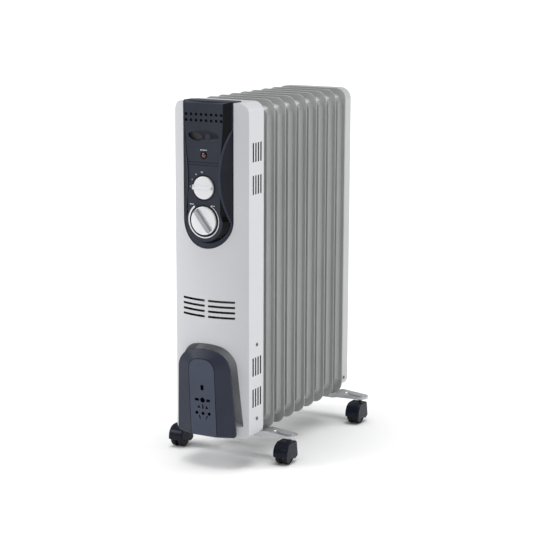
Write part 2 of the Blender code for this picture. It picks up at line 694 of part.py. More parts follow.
def make_knobs(silver, metal, heater):
    """Each knob and its shaft hang on an empty that stands on the knob's axis."""
    back = PLATFORM_FACE + WELL_DEPTH - GAP
    socket = 0.0022
    made = []
    for name, height, radius in (("selector", SELECTOR_HEIGHT, SELECTOR_RADIUS),
                                 ("thermostat", DIAL_HEIGHT, DIAL_RADIUS)):
        axis = empty(f"{name}_axis", (0, back, height), heater)
        rim = KNOB_RIM + WELL_DEPTH
        drum = turned(knob_blank(radius, rim, socket), AXIS_TO_FRONT)
        knob = piece(f"{name}_knob", drum, silver, axis, smooth=30)
        if name == "selector":
            ridge = along_x([(-rim - SELECTOR_RIDGE, -0.0016), (-rim - SELECTOR_RIDGE, 0.0016),
                             (-0.002, 0.0045), (-0.002, -0.0045)], -radius - 0.0030,
                            radius * 0.9)
            combine(knob, "UNION", [ridge], "ridge")
        else:
            bar = along_x([(-rim - DIAL_BAR, -0.0030), (-rim - DIAL_BAR, 0.0030),
                           (-0.002, 0.0050), (-0.002, -0.0050)], -radius * 0.93, radius * 0.93)
            turned(bar, Matrix.Rotation(math.radians(DIAL_REST_ANGLE), 4, "Y"))
            combine(knob, "UNION", [bar], "grip_bar")
        body_front = -CHASSIS_SETBACK - GAP - CONTROL_BODY_DEPTH
        reach = body_front - GAP - back + socket - GAP
        pin = revolve([(0, 0), (SHAFT_RADIUS, 0), (SHAFT_RADIUS, reach), (0, reach)], 16)
        piece(f"{name}_shaft", turned(pin, AXIS_TO_FRONT, (0, reach - socket + GAP, 0)), metal,
              axis)
        made.append(knob)
    return made


def make_lamp(lens_plastic, parent):
    """Domed lens with a flange behind the panel."""
    behind = PLATFORM_FACE + PANEL_WALL + GAP
    length = behind - (PLATFORM_FACE - 0.0014)
    lens = revolve([(0, -0.006), (LAMP_RADIUS + 0.0020, -0.006), (LAMP_RADIUS + 0.0020, 0),
                    (LAMP_RADIUS, 0), (LAMP_RADIUS, length - 0.0010),
                    (LAMP_RADIUS * 0.6, length - 0.0002), (0, length)], 16)
    return piece("pilot_lamp", turned(lens, AXIS_TO_FRONT), lens_plastic, parent,
                 (0, behind, LAMP_HEIGHT))


# --- Inside the cover -------------------------------------------------------------------
def make_chassis(metal, parent):
    """Sheet bridge between the cover's sides that carries the switch and the thermostat."""
    half = COVER_HALF - COVER_WALL - GAP
    plate = box((-half, -CHASSIS_SETBACK, CHASSIS_BOTTOM),
                (half, -CHASSIS_SETBACK + CHASSIS_WALL, CHASSIS_TOP))
    chassis = piece("control_chassis", plate, metal, parent)
    flanges = []
    for side in (-1, 1):
        ends = sorted((side * half, side * (half - CHASSIS_WALL)))
        flanges.append(box((ends[0], -CHASSIS_SETBACK + CHASSIS_WALL / 2, CHASSIS_BOTTOM),
                           (ends[1], -CHASSIS_SETBACK + CHASSIS_FLANGE, CHASSIS_TOP)))
    combine(chassis, "UNION", flanges, "flanges")
    return chassis


def make_control_bodies(plastic, parent):
    """Rotary switch and capillary-free thermostat, both on the chassis's front."""
    half = CONTROL_BODY / 2
    back = -CHASSIS_SETBACK - GAP
    front = back - CONTROL_BODY_DEPTH
    for name, height in (("selector_switch", SELECTOR_HEIGHT), ("thermostat_unit", DIAL_HEIGHT)):
        outline = rounded_panel(half, height - half * 0.8, height + half * 0.8, 0.004, 0.004, 2)
        body = piece(name, prism(outline, front, back), plastic, parent)
        step = body.modifiers.new("edge", "BEVEL")
        step.width = 0.0008
        step.segments = 1
        step.limit_method = "ANGLE"


def make_element(metal, rubber, parent):
    """Immersion rod through the lower header, its flange, two terminals and the gasket."""
    stub = -CHANNEL_HALF_DEPTH - FIN_STUB
    gasket_front = stub - GAP - GASKET_THICKNESS
    flange_back = gasket_front - GAP
    rod_end = LAST_FIN - 0.020
    flange = ELEMENT_FLANGE_THICKNESS
    profile = [(0, 0), (ELEMENT_FLANGE_RADIUS, 0), (ELEMENT_FLANGE_RADIUS, -flange),
               (ELEMENT_RADIUS, -flange), (ELEMENT_RADIUS, -flange - (rod_end - flange_back)),
               (0, -flange - (rod_end - flange_back))]
    rod = turned(revolve(profile, 16), AXIS_TO_FRONT)
    element = piece("heating_element", rod, metal, parent,
                    (0, flange_back - flange, LOWER_HEADER))
    pins = []
    for x in (-0.007, 0.007):
        pins.append(prism(ring(TERMINAL_RADIUS, (x, 0), 8), -TERMINAL_LENGTH, 0.002))
    combine(element, "UNION", pins, "terminals")
    bore = HEADER_BORE
    ring_profile = [(bore, 0), (HEADER_RADIUS - 0.0005, 0),
                    (HEADER_RADIUS - 0.0005, GASKET_THICKNESS), (bore, GASKET_THICKNESS)]
    solid = bmesh.new()
    points = [solid.verts.new((r, 0, z)) for r, z in ring_profile]
    edges = [solid.edges.new((points[i], points[(i + 1) % 4])) for i in range(4)]
    bmesh.ops.spin(solid, geom=points + edges, cent=(0, 0, 0), axis=(0, 0, 1),
                   angle=math.tau, steps=20, use_merge=True)
    piece("element_gasket", turned(facing_out(solid), AXIS_TO_FRONT), rubber, parent,
          (0, stub - GAP, LOWER_HEADER))


def make_small_electrics(plastic, metal, parent):
    """Thermal cut-out on the first fin and the terminal block above the cord pocket."""
    face = -CHANNEL_HALF_DEPTH - GAP
    cap = revolve([(0, 0), (CUTOUT_RADIUS, 0), (CUTOUT_RADIUS, CUTOUT_DEPTH * 0.7),
                   (CUTOUT_RADIUS * 0.7, CUTOUT_DEPTH), (0, CUTOUT_DEPTH)], 16)
    piece("thermal_cutout", turned(cap, AXIS_TO_FRONT), metal, parent, (0, face, CUTOUT_HEIGHT))
    width, depth, height = BLOCK_SIZE
    back = face - GAP
    place = (-0.040, back - depth, BLOCK_HEIGHT)
    block = box((-width / 2, 0, -height / 2), (width / 2, depth, height / 2))
    made = piece("terminal_block", block, plastic, parent, place)
    wells = []
    for i in range(3):
        x = (i - 1) * width / 3
        wells.append(prism(ring(0.0035, (x, 0), 10), -0.001, depth * 0.5))
    combine(made, "DIFFERENCE", wells, "screw_wells")


def make_bush(rubber, parent):
    """Cord inlet: a bush through the pocket's floor, flanged on the outside."""
    flange, reach = 0.0025, 0.010
    profile = [(BUSH_BORE, reach), (BUSH_RADIUS, reach), (BUSH_RADIUS, flange),
               (BUSH_FLANGE_RADIUS, flange), (BUSH_FLANGE_RADIUS * 0.8, 0), (BUSH_BORE, 0)]
    solid = bmesh.new()
    points = [solid.verts.new((r, 0, -z)) for r, z in profile]
    count = len(points)
    edges = [solid.edges.new((points[i], points[(i + 1) % count])) for i in range(count)]
    bmesh.ops.spin(solid, geom=points + edges, cent=(0, 0, 0), axis=(0, 0, 1),
                   angle=math.tau, steps=16, use_merge=True)
    piece("cord_inlet_bush", turned(facing_out(solid), AXIS_TO_FRONT), rubber, parent,
          (BUSH_PLACE[0], POCKET_FLOOR - GAP - flange, BUSH_PLACE[1]))


# --- Rear cover -------------------------------------------------------------------------
def end_cover_sections(inset, front, back):
    """Pan with a rounded rear edge: the outline shrinks as it nears the back."""
    sections = []
    edge = END_COVER_EDGE - inset
    steps = 4
    top, bottom = FIN_TOP - inset, END_COVER_BOTTOM + inset
    sections.append((rounded_panel(FIN_HALF - inset, bottom, top, 0.012, FIN_CORNER), front))
    for i in range(steps + 1):
        angle = math.pi / 2 * i / steps
        shrink = edge * (1 - math.cos(angle))
        y = back - edge + edge * math.sin(angle)
        outline = rounded_panel(FIN_HALF - inset - shrink, bottom + shrink * 0.6, top - shrink,
                                0.012, FIN_CORNER)
        sections.append((outline, y))
    return sections


def make_end_cover(paint, parent):
    solid = loft(bmesh.new(), end_cover_sections(0, END_COVER_RIM, END_COVER_BACK))
    cover = piece("end_cover", solid, paint, parent)
    inner = end_cover_sections(COVER_WALL, END_COVER_RIM - 0.01, END_COVER_BACK - COVER_WALL)
    combine(cover, "DIFFERENCE", [loft(bmesh.new(), inner)], "hollow")
    mouth = box((-FIN_HALF + 0.012, END_COVER_RIM - 0.005, END_COVER_BOTTOM - 0.01),
                (FIN_HALF - 0.012, END_COVER_BACK - 0.0125, END_COVER_BOTTOM + 0.006))
    combine(cover, "DIFFERENCE", [mouth], "open_foot")
    combine(cover, "DIFFERENCE", side_drills(END_COVER_RIM + 0.0062, (END_SCREW_HEIGHT,),
                                             FIN_HALF), "drillings")
    return cover


# --- Feet -------------------------------------------------------------------------------
def foot_top(x):
    """Height of the foot's top face: low under the fins, up at the knee, down to the end."""
    reach = abs(x)
    if reach <= FOOT_MID_HALF:
        return FOOT_MID_TOP
    if reach <= FOOT_KNEE:
        share = (reach - FOOT_MID_HALF) / (FOOT_KNEE - FOOT_MID_HALF)
        return FOOT_MID_TOP + (FOOT_KNEE_TOP - FOOT_MID_TOP) * share
    share = (reach - FOOT_KNEE) / (STEM_SPREAD - FOOT_KNEE)
    return FOOT_KNEE_TOP + (FOOT_END_TOP - FOOT_KNEE_TOP) * min(share, 1)


def foot_half_width(x):
    share = max(abs(x) - FOOT_KNEE, 0) / (STEM_SPREAD - FOOT_KNEE)
    wide, narrow = FOOT_WIDTH / 2, FOOT_END_WIDTH / 2
    if share <= 1:
        return wide + (narrow - wide) * share
    return math.sqrt(max(narrow**2 - (abs(x) - STEM_SPREAD) ** 2, 0.0004**2))


def foot_stations():
    end = FOOT_END_WIDTH / 2
    right = [0, FOOT_MID_HALF, FOOT_KNEE, STEM_SPREAD]
    right += [STEM_SPREAD + end * math.sin(math.radians(a)) for a in (25, 48, 67, 82)]
    return [-x for x in reversed(right[1:])] + right


def foot_solid(inset, drop, skirt):
    """A bar with an inset from the foot's edge, from the top face's height less a drop."""
    solid = bmesh.new()
    rings = []
    for x in foot_stations():
        half = max(foot_half_width(x) - inset, 0.0002)
        top = foot_top(x) - drop
        share = min(max(abs(x) - FOOT_KNEE, 0) / (STEM_SPREAD - FOOT_KNEE), 1)
        low = foot_top(x) - (FOOT_SKIRT + (FOOT_END_SKIRT - FOOT_SKIRT) * share) - skirt
        corners = ((-half, low), (half, low), (half, top), (-half, top))
        rings.append([solid.verts.new((x, y, z)) for y, z in corners])
    for near, far in zip(rings, rings[1:]):
        for i in range(4):
            j = (i + 1) % 4
            solid.faces.new((near[i], near[j], far[j], far[i]))
    solid.faces.new(rings[0])
    solid.faces.new(list(reversed(rings[-1])))
    return facing_out(solid)


def make_foot(name, place, rod_offset, metal, parent):
    """Pressed channel across the heater, a castor stem at each end and a hole for the hook bolt."""
    foot = piece(name, foot_solid(0, 0, 0), metal, parent, (0, place, 0))
    combine(foot, "DIFFERENCE", [foot_solid(FOOT_WALL, FOOT_WALL, 0.004)], "underside")
    holes = []
    for x in (-STEM_SPREAD, STEM_SPREAD):
        holes.append(along_z(ring(PIN_RADIUS + GAP, (x, 0), 16), 0.03, 0.07))
    holes.append(along_z(ring(ROD_RADIUS + GAP, (rod_x(), rod_offset), 12), 0.03, 0.07))
    combine(foot, "DIFFERENCE", holes, "holes")
    return foot


def rod_x():
    return HEADER_RADIUS + ROD_RADIUS + GAP


def make_hook_bolt(name, place, metal, parent):
    """Rod bent over the lower header, its threaded leg down through the foot."""
    radius = rod_x()
    points = [Vector((radius, 0, FOOT_MID_TOP - FOOT_WALL - NUT_HEIGHT - ROD_REACH * 0.5))]
    points += [Vector((x, 0, z)) for x, z in arc((0, LOWER_HEADER), radius, 0, 205, 14)]
    solid = bmesh.new()
    sides = 8
    loops = []
    for i, point in enumerate(points):
        before = points[max(i - 1, 0)]
        after = points[min(i + 1, len(points) - 1)]
        along = (after - before).normalized()
        across = along.cross(Vector((0, 1, 0)))
        loop = []
        for k in range(sides):
            angle = math.tau * k / sides
            offset = across * math.cos(angle) + Vector((0, 1, 0)) * math.sin(angle)
            loop.append(solid.verts.new(point + offset * ROD_RADIUS))
        loops.append(loop)
    for near, far in zip(loops, loops[1:]):
        for i in range(sides):
            j = (i + 1) % sides
            solid.faces.new((near[i], near[j], far[j], far[i]))
    solid.faces.new(loops[0])
    solid.faces.new(list(reversed(loops[-1])))
    return piece(name, solid, metal, parent, (0, place, 0))


def make_wing_nut(name, place, metal, parent):
    top = FOOT_MID_TOP - FOOT_WALL - GAP
    bore = ROD_RADIUS + GAP
    profile = [(bore, 0), (NUT_RADIUS, 0), (NUT_RADIUS * 0.75, -NUT_HEIGHT), (bore, -NUT_HEIGHT)]
    solid = bmesh.new()
    points = [solid.verts.new((r, 0, z)) for r, z in profile]
    edges = [solid.edges.new((points[i], points[(i + 1) % 4])) for i in range(4)]
    bmesh.ops.spin(solid, geom=points + edges, cent=(0, 0, 0), axis=(0, 0, 1),
                   angle=math.tau, steps=12, use_merge=True)
    nut = piece(name, facing_out(solid), metal, parent, (rod_x(), place, top))
    wings = []
    for side in (-1, 1):
        ends = sorted((side * (bore + 0.001), side * WING_SPAN))
        wings.append(box((ends[0], -0.0009, -NUT_HEIGHT * 0.9), (ends[1], 0.0009, -0.0010)))
    combine(nut, "UNION", wings, "wings")
    return nut


# --- Castors ----------------------------------------------------------------------------
def hood_profile(inset):
    """Side view, (y, z), about the axle: quarter-round at the front, upright at the back."""
    front, back = HOOD_FRONT - inset, HOOD_BACK - inset
    top = HOOD_TOP - inset
    low = 0.0145
    centre_y = -0.0015
    points = []
    for i in range(7):
        angle = math.radians(180 - 90 * i / 6)
        points.append((centre_y + (front + centre_y) * math.cos(angle),
                       low + (top - low) * math.sin(angle)))
    return points + [(back - 0.0045, top), (back, 0.0105), (back - 0.0085, 0.0068)]


def make_castor(corner, side, foot_place, finishes, heater):
    """Stem fixed in the foot, hood that swivels on it, and two wheels on one axle."""
    metal, plastic, tread = finishes
    stem_x = side * STEM_SPREAD
    swivel = empty(f"{corner}_swivel_axis", (stem_x, foot_place, 0), heater)
    socket_floor = HOOD_TOP - PIN_SOCKET
    stem_low = HOOD_TOP + RUNNING_GAP
    stem_high = FOOT_END_TOP - FOOT_WALL - GAP
    stem = revolve([(0, socket_floor + GAP), (PIN_RADIUS, socket_floor + GAP),
                    (PIN_RADIUS, stem_low), (STEM_RADIUS, stem_low), (STEM_RADIUS, stem_high),
                    (PIN_RADIUS, stem_high), (PIN_RADIUS, FOOT_END_TOP + 0.0008),
                    (0, FOOT_END_TOP + 0.0016)], 16)
    piece(f"{corner}_stem", stem, metal, heater, (stem_x, foot_place, 0))
    axle_y = -TRAIL
    axle_place = (0, axle_y, WHEEL_RADIUS)
    blank = along_x(hood_profile(0), -HOOD_HALF_WIDTH, HOOD_HALF_WIDTH)
    hood = piece(f"{corner}_hood", turned(blank, Matrix.Identity(4), (0, axle_y, 0)), plastic,
                 swivel, smooth=25)
    edge = hood.modifiers.new("edge", "BEVEL")
    edge.width = 0.0012
    edge.segments = 1
    edge.limit_method = "ANGLE"
    edge.angle_limit = math.radians(50)
    pockets = []
    room = WHEEL_RADIUS + WHEEL_ROOM
    for hand in (-1, 1):
        ends = sorted((hand * (WHEEL_INNER - 0.0006), hand * (HOOD_HALF_WIDTH - HOOD_WALL)))
        bay = arc((axle_y, WHEEL_RADIUS), room, 0, 180, 10) + [(axle_y - room, -0.01),
                                                              (axle_y + room, -0.01)]
        pockets.append(along_x(bay, *ends))
    combine(hood, "DIFFERENCE", pockets, "wheel_bays")
    socket = along_z(ring(PIN_RADIUS + RUNNING_GAP, (0, 0), 16), socket_floor, HOOD_TOP + 0.01)
    bore = along_x(ring(AXLE_RADIUS + GAP, (axle_y, WHEEL_RADIUS), 12), -0.005, 0.005)
    combine(hood, "DIFFERENCE", [socket, bore], "bores")
    wheel_axis = empty(f"{corner}_wheel_axis", axle_place, swivel)
    half = WHEEL_INNER + WHEEL_WIDTH
    pin = revolve([(0, -half), (AXLE_RADIUS, -half), (AXLE_RADIUS, half), (0, half)], 12)
    piece(f"{corner}_axle", turned(pin, AXIS_TO_RIGHT), metal, swivel, axle_place)
    bore_radius = AXLE_RADIUS + RUNNING_GAP
    for label, hand in (("left", -1), ("right", 1)):
        profile = [(bore_radius, 0), (WHEEL_RADIUS, 0), (WHEEL_RADIUS, WHEEL_WIDTH - 0.0012),
                   (WHEEL_RADIUS - 0.0015, WHEEL_WIDTH), (bore_radius, WHEEL_WIDTH)]
        solid = bmesh.new()
        points = [solid.verts.new((r, 0, z)) for r, z in profile]
        count = len(points)
        edges = [solid.edges.new((points[i], points[(i + 1) % count])) for i in range(count)]
        bmesh.ops.spin(solid, geom=points + edges, cent=(0, 0, 0), axis=(0, 0, 1),
                       angle=math.tau, steps=20, use_merge=True)
        bmesh.ops.transform(solid, matrix=Matrix.Translation((0, 0, WHEEL_INNER)),
                            verts=solid.verts)
        turn = AXIS_TO_RIGHT if hand > 0 else AXIS_TO_LEFT
        piece(f"{corner}_wheel_{label}", turned(facing_out(solid), turn), tread, wheel_axis)


# --- Screws -----------------------------------------------------------------------------
def make_side_screw(name, side, half, y, height, metal, parent):
    """Pan head outside the sheet, shank through it. The screw's axis is +X or -X."""
    under = GAP
    head = SCREW_HEAD_HEIGHT
    solid = revolve([(0, -SCREW_LENGTH), (SCREW_SHANK_RADIUS, -SCREW_LENGTH),
                     (SCREW_SHANK_RADIUS, under), (SCREW_HEAD_RADIUS, under),
                     (SCREW_HEAD_RADIUS, under + head * 0.4),
                     (SCREW_HEAD_RADIUS * 0.6, under + head), (0, under + head)], 8)
    turn = AXIS_TO_RIGHT if side > 0 else AXIS_TO_LEFT
    piece(name, turned(solid, turn), metal, parent, (side * half, y, height))


# --- Assembly ---------------------------------------------------------------------------
def build():
    clear_scene()
    white = material("white_enamel", (0.78, 0.79, 0.81), 0.32)
    charcoal = material("charcoal_plastic", (0.050, 0.055, 0.072), 0.34)
    matte = material("matte_black_plastic", (0.022, 0.023, 0.026), 0.55)
    silver = material("silver_knob", (0.72, 0.72, 0.74), 0.34)
    zinc = material("zinc_steel", (0.70, 0.72, 0.74), 0.38, 0.8)
    rubber = material("black_rubber", (0.015, 0.015, 0.016), 0.7)
    red = material("lamp_lens", (0.55, 0.16, 0.12), 0.2)
    phenolic = material("brown_phenolic", (0.09, 0.045, 0.03), 0.5)

    heater = empty("heater", (0, CENTRE_SHIFT, 0))
    for index in range(FIN_COUNT):
        make_fin(index, white, heater)
    make_front_cover(white, heater)
    make_plate(charcoal, heater)
    make_control_panel(charcoal, heater)
    make_side_insert(1, "side_insert_right", matte, heater)
    make_side_insert(-1, "side_insert_left", matte, heater)
    make_knobs(silver, zinc, heater)
    make_lamp(red, heater)
    make_chassis(zinc, heater)
    make_control_bodies(phenolic, heater)
    make_element(zinc, rubber, heater)
    make_small_electrics(phenolic, zinc, heater)
    make_bush(rubber, heater)
    make_end_cover(white, heater)

    off_channel = CHANNEL_HALF_DEPTH + ROD_RADIUS + FREE_GAP
    feet = (("front", FRONT_FOOT, FIN_PITCH - off_channel),
            ("rear", REAR_FOOT, LAST_FIN + off_channel))
    for name, place, rod_place in feet:
        make_foot(f"{name}_foot_plate", place, rod_place - place, zinc, heater)
        make_hook_bolt(f"{name}_hook_bolt", rod_place, zinc, heater)
        make_wing_nut(f"{name}_wing_nut", rod_place, zinc, heater)
        for hand, side in (("left", -1), ("right", 1)):
            make_castor(f"{name}_{hand}", side, place, (zinc, charcoal, rubber), heater)

    for hand, side in (("left", -1), ("right", 1)):
        for level, height in zip(("upper", "lower"), COVER_SCREW_HEIGHTS):
            make_side_screw(f"cover_screw_{hand}_{level}", side, COVER_HALF,
                            COVER_RIM - VENT_SETBACK, height, zinc, heater)
        make_side_screw(f"end_screw_{hand}", side, FIN_HALF, END_COVER_RIM + 0.0062,
                        END_SCREW_HEIGHT, zinc, heater)


build()
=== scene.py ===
"""Oil filled radiator heater: the finished look of each piece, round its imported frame."""
import math

import bmesh
import bpy
from mathutils import Matrix, Vector


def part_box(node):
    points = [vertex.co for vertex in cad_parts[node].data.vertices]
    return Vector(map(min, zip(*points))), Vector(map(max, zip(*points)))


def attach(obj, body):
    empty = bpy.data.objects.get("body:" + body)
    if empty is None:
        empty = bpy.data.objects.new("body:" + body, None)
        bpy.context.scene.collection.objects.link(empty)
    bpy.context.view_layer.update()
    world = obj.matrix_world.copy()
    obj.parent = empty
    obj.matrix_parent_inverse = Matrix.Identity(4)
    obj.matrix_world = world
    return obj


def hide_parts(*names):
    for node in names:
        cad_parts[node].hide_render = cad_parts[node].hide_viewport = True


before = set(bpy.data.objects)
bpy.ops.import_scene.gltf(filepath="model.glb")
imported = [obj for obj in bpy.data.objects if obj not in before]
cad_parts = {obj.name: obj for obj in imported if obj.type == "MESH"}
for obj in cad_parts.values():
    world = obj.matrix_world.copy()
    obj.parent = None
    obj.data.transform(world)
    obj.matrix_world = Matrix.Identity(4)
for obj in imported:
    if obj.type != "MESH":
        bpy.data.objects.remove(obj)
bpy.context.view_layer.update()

# --- Sizes and places ---------------------------------------------------------------------
cover_low, cover_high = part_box("front_cover")
panel_low, panel_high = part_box("control_panel")
rear_low, rear_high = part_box("end_cover")
first_low, first_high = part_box("fin_1")

HALF = cover_high.x
CROWN = cover_low.y
RIM = cover_high.y
BOW_RADIUS = 0.140               # of the bowed front, seen from above
BOW_CENTRE = CROWN + BOW_RADIUS
WALL = 0.0013                    # sheet steel
FAR = 0.4                        # past everything, for cutters
FIN_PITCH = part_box("fin_3")[0].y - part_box("fin_2")[0].y
FIRST_FIN = RIM + 0.0013
DIAL_HEIGHT = (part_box("thermostat_knob")[0].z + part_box("thermostat_knob")[1].z) / 2
SELECTOR_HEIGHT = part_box("selector_shaft")[0].z + 0.0030
FACE = panel_low.y               # front of the raised platform
PANEL_HALF = panel_high.x
PANEL_TOP = panel_high.z
RIM_SINK = 0.0015                # the panel's rim lies this far under the cover's bow
PANEL_WALL = 0.0022
ROOT_HALF = 0.0430               # half width of the platform where it meets the rim
ROOT = BOW_CENTRE - math.sqrt((BOW_RADIUS - RIM_SINK) ** 2 - ROOT_HALF ** 2)
POCKET_FLOOR = CROWN + 0.0284
GAP = 0.0003                     # between neighbouring pieces

LOUVRE_TOP = 0.2952              # top row of the cover's front louvres
LOUVRE_PITCH = 0.0092
SIDE_SLOT_HEIGHTS = (0.5480, 0.4932, 0.1794, 0.1243)
SIDE_SLOT_PITCH = 0.0086
SIDE_SLOT_PLACE = RIM - 0.0222

VENT_HEIGHTS = (0.6113, 0.6014)
VENT_PITCH = 0.0097
VENT_RADIUS = 0.0025
GRIP_HEIGHT = 0.5760             # finger recess
LAMP_HEIGHT = 0.5435
SEAM_HEIGHTS = (0.5315, 0.5268)
KNOB_SINK = 0.0010               # depth of the round beds under the knobs
SELECTOR_RADIUS = 0.0193
DIAL_RADIUS = 0.0240
DIAL_TURN = 52                   # degrees, the grip bar's slant at rest
MARK = 0.00012                   # thickness of the printed marks

STRIP_CENTRE = (0.2450, 0.5060)  # middle of the flank's arcs, out to the side
INLAY_RADIUS = 0.2126
STRIP_RADII = (0.2128, 0.2152)
RIBS = 100

PLATE_FOOT = 0.0600
PLATE_TOP = 0.2130
PLATE_LEAN = 3.9                 # degrees, foot away from the cover
PLUG_HEIGHT = 0.1240             # the cord plate's parking holes

HEADERS = (0.085, 0.595)         # heights of the pipes that join the fins
HEADER_RADIUS = 0.0170
STEM = 0.1071                    # castor stems, out from the middle
KNEE = (0.0560, 0.0640)          # where a foot steps up
WHEEL_RADIUS = 0.0150
WHEEL_WIDTH = 0.0088


# --- Finishes -----------------------------------------------------------------------------
def finish(name, dark, light, rough, patch=18.0, grain=1400.0, relief=0.05, depth=0.0002,
           metallic=0.0, coat=0.0, specular=0.5, speckle=0.0):
    """A finish whose colour, gloss and fine relief vary over the surface."""
    made = bpy.data.materials.new(name)
    made.use_nodes = True
    nodes, links = made.node_tree.nodes, made.node_tree.links
    shader = nodes["Principled BSDF"]
    shader.inputs["Metallic"].default_value = metallic
    shader.inputs["Coat Weight"].default_value = coat
    shader.inputs["Coat Roughness"].default_value = 0.1
    shader.inputs["Specular IOR Level"].default_value = specular
    coords = nodes.new("ShaderNodeTexCoord").outputs["Object"]

    def noise(scale, detail, roughness=0.5):
        node = nodes.new("ShaderNodeTexNoise")
        node.inputs["Scale"].default_value = scale
        node.inputs["Detail"].default_value = detail
        node.inputs["Roughness"].default_value = roughness
        links.new(coords, node.inputs["Vector"])
        return node.outputs["Fac"]

    ramp = nodes.new("ShaderNodeValToRGB")
    ramp.color_ramp.elements[0].position = 0.34
    ramp.color_ramp.elements[1].position = 0.66
    ramp.color_ramp.elements[0].color = (*dark, 1)
    ramp.color_ramp.elements[1].color = (*light, 1)
    links.new(noise(patch, 3.0), ramp.inputs["Fac"])
    colour = ramp.outputs["Color"]
    if speckle:
        mix = nodes.new("ShaderNodeMix")
        mix.data_type = "RGBA"
        mix.blend_type = "MULTIPLY"
        mix.inputs["Factor"].default_value = speckle
        spots = nodes.new("ShaderNodeTexVoronoi")
        spots.inputs["Scale"].default_value = grain * 0.4
        links.new(coords, spots.inputs["Vector"])
        links.new(colour, mix.inputs[6])
        links.new(spots.outputs["Color"], mix.inputs[7])
        colour = mix.outputs[2]
    links.new(colour, shader.inputs["Base Color"])

    gloss = nodes.new("ShaderNodeMapRange")
    gloss.inputs["From Min"].default_value = 0.3
    gloss.inputs["From Max"].default_value = 0.7
    gloss.inputs["To Min"].default_value = rough[0]
    gloss.inputs["To Max"].default_value = rough[1]
    links.new(noise(patch * 5, 4.0), gloss.inputs["Value"])
    links.new(gloss.outputs["Result"], shader.inputs["Roughness"])

    bump = nodes.new("ShaderNodeBump")
    bump.inputs["Strength"].default_value = relief
    bump.inputs["Distance"].default_value = depth
    links.new(noise(grain, 2.0), bump.inputs["Height"])
    links.new(bump.outputs["Normal"], shader.inputs["Normal"])
    return made


enamel = finish("white_enamel", (0.560, 0.566, 0.590), (0.575, 0.581, 0.606), (0.285, 0.30),
                patch=7, grain=620, relief=0.06, depth=0.0002, coat=0.08)
# The cover's white paint made darker and greyer for the fins: painted shade between the closely
# spaced fins.
fin_painted_shade_enamel = finish("fin_painted_shade_enamel", (0.350, 0.364, 0.358), (0.380, 0.394, 0.388), (0.24, 0.26),
                    patch=9, grain=560, relief=0.06, depth=0.0002, coat=0.15)
pan_enamel = finish("rear_enamel", (0.425, 0.435, 0.440), (0.450, 0.460, 0.465), (0.285, 0.30),
                    patch=7, grain=600, relief=0.06, depth=0.0002, coat=0.10)
# Near-black for the insides of the cover, panel, plate and rear cover and for the walls of the
# slots: painted shade, so slots and holes read dark.
painted_shade_inside = finish("painted_shade_inside", (0.030, 0.031, 0.033), (0.045, 0.046, 0.05),
                       (0.7, 0.9), patch=30, grain=900, relief=0.2)
slate = finish("charcoal_plastic", (0.019, 0.024, 0.041), (0.023, 0.029, 0.048), (0.40, 0.46),
               patch=20, grain=2600, relief=0.12, depth=0.00012, specular=0.24)
castor_slate = finish("castor_plastic", (0.006, 0.008, 0.015), (0.009, 0.012, 0.021),
                      (0.24, 0.28), patch=30, grain=2600, relief=0.08, depth=0.0001,
                      specular=0.16)
gloss_slate = finish("glossy_charcoal", (0.014, 0.018, 0.031), (0.018, 0.023, 0.038),
                     (0.20, 0.25), patch=16, grain=900, relief=0.02, specular=0.26)
# Glossy black of the lamp collar; also laid on the platform's flanks as a painted dark reflection.
black_and_painted_reflection = finish("glossy_black_and_painted_reflection", (0.0015, 0.0018, 0.0025), (0.003, 0.0035, 0.005),
                     (0.10, 0.14), patch=16, grain=900, relief=0.02, specular=0.10)
# Paler charcoal for the plate's raised face and, as a painted highlight, for the ribbed strips.
pale_slate = finish("mid_charcoal", (0.046, 0.055, 0.086), (0.052, 0.062, 0.096), (0.40, 0.46),
                    patch=20, grain=2600, relief=0.12, depth=0.00012, specular=0.24)
dark_steel = finish("dark_screw_steel", (0.10, 0.10, 0.11), (0.16, 0.16, 0.17), (0.30, 0.42),
                    patch=260, grain=2400, relief=0.1, metallic=0.7)
# Black plastic of the flank inlays; also laid as painted shade on the cut walls of holes, seams,
# knob beds, the finger recess, the plate's groove and plug holes, and the screw slots.
black_and_recess_shade = finish("matte_black_plastic", (0.006, 0.008, 0.014), (0.009, 0.011, 0.019),
               (0.34, 0.44), patch=30, grain=2200, relief=0.16, depth=0.00015, specular=0.2)
silver = finish("silver_knob", (0.72, 0.725, 0.745), (0.76, 0.765, 0.785), (0.30, 0.35),
                patch=20, grain=3200, relief=0.04, depth=0.0001, metallic=0.25)
# Darker grey for the dial's raised grip bar: painted shade for the bar's sides.
bar_painted_shade = finish("knob_bar_painted_shade", (0.30, 0.31, 0.34), (0.36, 0.37, 0.40), (0.28, 0.38),
                  patch=30, grain=3200, relief=0.06, metallic=0.4)
zinc = finish("zinc_steel", (0.52, 0.53, 0.55), (0.68, 0.69, 0.71), (0.26, 0.44), patch=160,
              grain=1500, relief=0.10, metallic=0.9)
foot_paint = finish("silver_foot_paint", (0.50, 0.51, 0.53), (0.55, 0.56, 0.58), (0.30, 0.33),
                    patch=40, grain=1800, relief=0.06, metallic=0.50)
rubber = finish("black_rubber", (0.006, 0.006, 0.007), (0.011, 0.011, 0.012), (0.50, 0.70),
                patch=60, grain=2600, relief=0.2, depth=0.0002, specular=0.22)
hub = finish("wheel_hub_nylon", (0.008, 0.009, 0.012), (0.013, 0.014, 0.018), (0.30, 0.45),
             patch=60, grain=2400, relief=0.15, specular=0.25)
lens = finish("lamp_lens", (0.075, 0.014, 0.011), (0.12, 0.026, 0.018), (0.10, 0.18), patch=400,
              grain=1200, relief=0.04, coat=0.6)
phenolic = finish("brown_phenolic", (0.060, 0.030, 0.020), (0.095, 0.048, 0.032), (0.4, 0.55),
                  patch=120, grain=1600, relief=0.2, speckle=0.25)
print_white = finish("white_print", (0.72, 0.73, 0.75), (0.80, 0.81, 0.83), (0.4, 0.55),
                     patch=300, grain=2400, relief=0.1)


